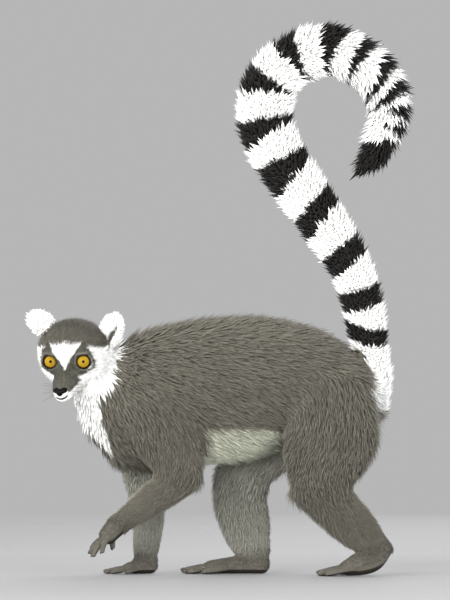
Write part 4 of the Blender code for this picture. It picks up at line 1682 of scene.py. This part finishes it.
@dataclass
class Eyes:
    """The eyeballs, each with a clear coat over its iris and pupil.

    Attributes:
        iris: The iris's radius.
        pupil: The pupil's radius.
        edges: How far the pupil's and the iris's edges run inwards and outwards, in units of the unwrap.
        unit: The millimetres of one unit of the unwrap.
        cornea: How far the cornea stands out, and the angle from the gaze that it spreads to.
        sunk: How much smaller than its socket the eyeball is.
        rings: The faces from the front of an eyeball to its back.
        turns: The faces round it.
    """

    iris: float = 6.6
    pupil: float = 1.6
    edges: Rows = ((-0.02, 0.015), (-0.07, 0.02))
    unit: float = 10
    cornea: Pair = (0.5, 0.62)
    sunk: float = 0.25
    rings: int = 48
    turns: int = 64

    def material(self) -> Material:
        """Amber with darker rays, a dark ring round it, and a black pupil."""
        shine = {"Coat_Weight": 0.06, "Coat_Roughness": 0.03, "Specular_IOR_Level": 0.02}
        material, graph, shader = new_material("lemur_eye", Roughness=0.25, **shine)
        polar = graph.put("ShaderNodeUVMap", uv_map="iris").outputs[0]
        radius = graph.put("ShaderNodeSeparateXYZ", {0: polar}).outputs[1]
        rays_round, rays_out = 70.0, 2.5
        stretch = graph.vector("MULTIPLY", polar, (rays_round, rays_out, 1.0))
        noise = {"Vector": stretch, "Scale": 1.0, "Detail": 4.0, "Roughness": 0.7}
        rays = graph.put("ShaderNodeTexNoise", noise).outputs["Fac"]
        colour = graph.blend(rays, (0.17, 0.09, 0.004, 1), (0.36, 0.23, 0.020, 1))
        pupil, iris = (
            graph.spread(radius, size / self.unit + inner, size / self.unit + outer, 0.0, 1.0, smooth=True)
            for size, (inner, outer) in zip((self.pupil, self.iris), self.edges)
        )
        colour = graph.blend(pupil, (0.002, 0.002, 0.002, 1), colour)
        graph.feed(shader, {"Base Color": graph.blend(iris, colour, (0.012, 0.007, 0.004, 1))})
        return material

    def points(self) -> Array:
        """An eyeball's points from its centre, in the head's frame: its rings, its front and its back."""
        gaze = unit(HEAD.axes.T @ np.array([0.0, -1.0, 0.0]))
        side_way = unit(np.cross(gaze, UP))
        up_way = np.cross(side_way, gaze)
        theta = np.linspace(0, math.pi, self.rings + 1)[1:-1]
        phi = np.arange(self.turns) / self.turns * math.tau
        t, p = np.meshgrid(theta, phi, indexing="ij")
        bulge, spread = self.cornea
        radius = FACE.eye_radius + bulge * np.exp(-((t / spread) ** 2) * 1.4) - self.sunk
        local = (
            np.cos(t)[..., None] * gaze
            + (np.sin(t) * np.cos(p))[..., None] * side_way
            + (np.sin(t) * np.sin(p))[..., None] * up_way
        ) * radius[..., None]
        front, back = FACE.eye_radius + bulge - self.sunk, FACE.eye_radius - self.sunk
        return np.array([*local.reshape(-1, 3), gaze * front, -gaze * back])

    def faces(self) -> tuple[list[tuple[int, ...]], Array]:
        """An eyeball's faces, and each corner's place round it and from its front."""
        turns, last = self.turns, (self.rings - 2) * self.turns
        front = last + turns
        faces, polar = [], []
        for k in range(self.rings - 2):
            for j in range(turns):
                here, there = k * turns + j, k * turns + (j + 1) % turns
                faces.append((here, here + turns, there + turns, there))
                polar += [(j, k + 1), (j, k + 2), (j + 1, k + 2), (j + 1, k + 1)]
        for j in range(turns):
            after = (j + 1) % turns
            faces += [(front, j, after), (last + j, front + 1, last + after)]
            polar += [(j + 0.5, 0), (j, 1), (j + 1, 1)]
            polar += [(j, self.rings - 1), (j + 0.5, self.rings), (j + 1, self.rings - 1)]
        return faces, np.array(polar, float)

    def build(self) -> None:
        """Makes both eyes."""
        material = self.material()
        faces, polar = self.faces()
        behind = 2
        away = np.sin(polar[:, 1] / self.rings * math.pi) * FACE.eye_radius / self.unit
        away[polar[:, 1] > self.rings / 2] = behind
        places = np.stack([polar[:, 0] / self.turns, away], axis=1)
        for side in Side:
            points = HEAD.outward(self.points() + FACE.eye_centre(side))
            mesh = mesh_from(f"eyeball_{side.label}", LAYOUT.to_frame(points), faces)
            layer = mesh.uv_layers.new(name="iris")
            layer.data.foreach_set("uv", places.ravel().astype(np.float32))
            piece = add_piece(mesh.name, mesh, material)
            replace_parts(piece, f"eye_{side.label}")


@dataclass
class Nose:
    """The bare nose: two wings and a foot between them, with slit nostrils. Sizes are in the head's frame.

    Attributes:
        wing: The centre and half sizes of the wing on the animal's right.
        foot: The centre and half sizes of the lower part.
        nostril: The ends of the nostril on the animal's right.
        nostril_radius: Half its width.
        cleft: The ends of the groove down the middle.
        cleft_radius: Half its width.
        reach: How far from the foot's centre the grid runs that the surface is drawn on.
        spacing: Of that grid.
        fillets: The widths of the fillets between the lobes and at the grooves.
    """

    wing: Rows = ((4.1, 39.7, -18.3), (4.2, 4.9, 2.8))
    foot: Rows = ((0, 40.9, -20.7), (3.5, 4.2, 3.7))
    nostril: Rows = ((3.1, 45.0, -20.0), (7.2, 41.2, -18.4))
    nostril_radius: float = 0.95
    cleft: Rows = ((0, 45.6, -18.5), (0, 45.0, -25.0))
    cleft_radius: float = 0.45
    reach: float = 10
    spacing: float = 0.4
    fillets: Pair = (1.8, 0.6)

    def field_at(self, points: Array) -> Array:
        """The field whose zero level is the nose, at points in the head's frame."""
        joined, cut = self.fillets
        values = self.lobe(points, *np.array(self.foot))
        for side in reversed(Side):
            wing = self.lobe(points, side.mirrored(self.wing[0]), np.array(self.wing[1]))
            values = smooth_join(values, wing, joined)
        for side in reversed(Side):
            nostril = capsule_distance(points, *side.mirrored(self.nostril))
            values = smooth_cut(values, nostril - self.nostril_radius, cut)
        return smooth_cut(values, capsule_distance(points, *np.array(self.cleft)) - self.cleft_radius, cut)

    @staticmethod
    def lobe(points: Array, centre: Array, sizes: Array) -> Array:
        """The distance from a lobe, about right near it."""
        return (np.linalg.norm((points - centre) / sizes, axis=1) - 1) * sizes.min()

    def build(self) -> None:
        """Makes the nose."""
        axes = tuple(np.arange(-self.reach, self.reach, self.spacing) + along for along in self.foot[0])
        points = np.stack(np.meshgrid(*axes, indexing="ij"), axis=-1)
        values = self.field_at(points.reshape(-1, 3)).reshape(points.shape[:3])
        vertices, faces = surface_net(values, axes)
        mesh = mesh_from("nose_pad", LAYOUT.to_frame(HEAD.outward(vertices)), faces)
        dark = {"Specular_IOR_Level": 0.06, "Base_Color": (0.004, 0.004, 0.004, 1)}
        material, graph, shader = new_material("nose_skin", Roughness=0.5, **dark)
        per_metre = 1400.0
        grain = graph.put("ShaderNodeTexVoronoi", {"Vector": graph.place(), "Scale": per_metre})
        graph.bump(shader, grain.outputs["Distance"], strength=0.4, distance=0.0004)
        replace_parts(add_piece("nose_pad", mesh, material), "nose")


@dataclass
class Nails:
    """A flat nail on each digit, but a grooming claw on each foot's second toe.

    Attributes:
        stretches: The stretches of the body.
        nail: A nail's half sizes along the digit, across it and out of it, as shares of its half thickness.
        claw: The claw's.
        rise: How steeply a nail and the claw rise from the digit.
        place: How far ahead of the digit's last station and out of it they sit, as such shares.
    """

    stretches: list[Stretch]
    nail: Triple = (0.85, 0.62, 0.30)
    claw: Triple = (1.05, 0.32, 0.34)
    rise: Pair = (-0.35, 0.25)
    place: Pair = (0.55, 0.72)

    def build(self) -> None:
        """Makes all nails as one piece."""
        ball = bmesh.new()
        bmesh.ops.create_icosphere(ball, subdivisions=2, radius=1)
        ball.verts.index_update()
        shape = np.array([vertex.co[:] for vertex in ball.verts])
        sides = np.array([[vertex.index for vertex in face.verts] for face in ball.faces])
        ball.free()
        points, faces = [], []
        for stretch in self.stretches:
            if "digit" not in stretch.name:
                continue
            is_claw = stretch.name.startswith("foot") and stretch.name.endswith("2")
            radius = stretch.skin_sizes[-1].min()
            sizes = np.array(self.claw if is_claw else self.nail) * radius
            ahead, side, out = stretch.ahead[-1], stretch.side[-1], stretch.down[-1]
            rise = self.rise[is_claw]
            axes = np.array([unit(ahead + out * rise), side, unit(out - ahead * rise)])
            place = stretch.centres[-1] + ahead * radius * self.place[0] + out * radius * self.place[1]
            faces.append(sides + len(shape) * len(points))
            points.append(place + shape * sizes @ axes)
        mesh = mesh_from("nails", LAYOUT.to_frame(np.vstack(points)), np.vstack(faces))
        material = new_material("nail_horn", Roughness=0.35, Base_Color=(0.045, 0.038, 0.032, 1))[0]
        add_piece("nails", mesh, material)


# -------- stage


@dataclass(frozen=True)
class Light:
    """A soft square light that faces the body: its name, place, size, power and colour."""

    name: str
    place: Triple
    size: float
    power: float
    colour: Colour = (1.0, 1.0, 1.0)


@dataclass
class Stage:
    """The floor, the lights, the backdrop's light and the camera, in metres.

    Attributes:
        floor_radius: The floor's radius.
        fade: Where the floor starts to clear and where it is gone.
        lights: The lights.
        lit_height: The height that the lights face.
        backdrop: The backdrop's strength as a light, and as the camera sees it.
        distance: From the camera to the body.
        view_height: How much the view holds at the body, from top to bottom.
        middle_height: The height of the view's middle.
    """

    floor_radius: float = 3.0
    fade: Pair = (0.9, 2.9)
    lights: tuple[Light, ...] = (
        Light("key_light", (-1.3, -2.7, 0.85), 2.0, 145, (1.0, 0.985, 0.965)),
        Light("fill_light", (1.8, -2.5, 0.45), 2.2, 104, (0.97, 0.985, 1.0)),
        Light("side_light", (-2.7, 0.2, 0.5), 1.6, 60),
        Light("back_light", (0.9, 2.9, 1.0), 2.0, 45),
        Light("top_light", (0.3, 1.2, 2.6), 1.8, 22),
    )
    lit_height: float = 0.3
    backdrop: Pair = (1.7, 1.0)
    distance: float = 10.0
    view_height: float = 0.66
    middle_height: float = 0.3025

    def build(self) -> None:
        """Sets up the whole stage."""
        self.add_floor()
        self.add_backdrop()
        for light in self.lights:
            self.add_light(light)
        self.add_camera()
        bpy.context.scene.view_settings.view_transform = "Standard"

    def add_floor(self) -> None:
        """A plain pale floor that fades into the backdrop."""
        mesh = bmesh.new()
        bmesh.ops.create_circle(mesh, cap_ends=True, segments=96, radius=self.floor_radius)
        data = bpy.data.meshes.new("floor")
        mesh.to_mesh(data)
        mesh.free()
        floor = link_object("floor", data)
        pale = (0.265, 0.265, 0.268, 1)
        material, graph, shader = new_material("studio_floor", Roughness=0.9, Base_Color=pale)
        far = graph.put("ShaderNodeVectorMath", {0: graph.place()}, operation="LENGTH").outputs["Value"]
        graph.feed(shader, {"Alpha": graph.spread(far, *self.fade, 1.0, 0.0)})
        data.materials.append(material)

    def add_backdrop(self) -> None:
        """A plain pale light from all round."""
        world = bpy.data.worlds.new("studio")
        world.use_nodes = True
        sky = world.node_tree.nodes["Background"]
        sky.inputs["Color"].default_value = (0.47, 0.47, 0.475, 1)
        graph = NodeGraph(world.node_tree)
        seen = graph.put("ShaderNodeLightPath").outputs["Is Camera Ray"]
        graph.feed(sky, {"Strength": graph.spread(seen, *self.backdrop)})
        bpy.context.scene.world = world

    def add_light(self, light: Light) -> None:
        """Hangs one light."""
        data = bpy.data.lights.new(light.name, "AREA")
        data.size, data.energy, data.color = light.size, light.power, light.colour
        lamp = link_object(light.name, data)
        lamp.location = light.place
        facing = Vector((0, 0, self.lit_height)) - Vector(light.place)
        lamp.rotation_euler = facing.to_track_quat("-Z", "Y").to_euler()

    def add_camera(self) -> None:
        """A camera level with the body's middle, square to its left side."""
        data = bpy.data.cameras.new("camera")
        data.sensor_width = 36
        data.lens = data.sensor_width * self.distance / self.view_height
        data.clip_end = 100
        camera = link_object("camera", data)
        camera.location = (LAYOUT.shift[0] * MM, -self.distance, self.middle_height)
        camera.rotation_euler = (math.pi / 2, 0, 0)
        bpy.context.scene.camera = camera


def main() -> None:
    """Builds the animal and its stage."""
    logging.basicConfig(level=logging.INFO, format="%(name)s: %(message)s")
    LOG.info("layout moved by %s mm", np.round(LAYOUT.shift, 2))
    marks = marks_group()
    skin = Skin()
    skin.build()
    skin.finish(skin_material(marks))
    Eyes().build()
    Nose().build()
    Nails(skin.stretches).build()
    whisker = new_material("whisker_hair", Roughness=0.5, Base_Color=(0.03, 0.026, 0.022, 1))[0]
    total = Coat(skin, coat_material(marks), whisker).grow()
    LOG.info("coat: %d triangles", total)
    Stage().build()


if __name__ == "__main__":
    main()
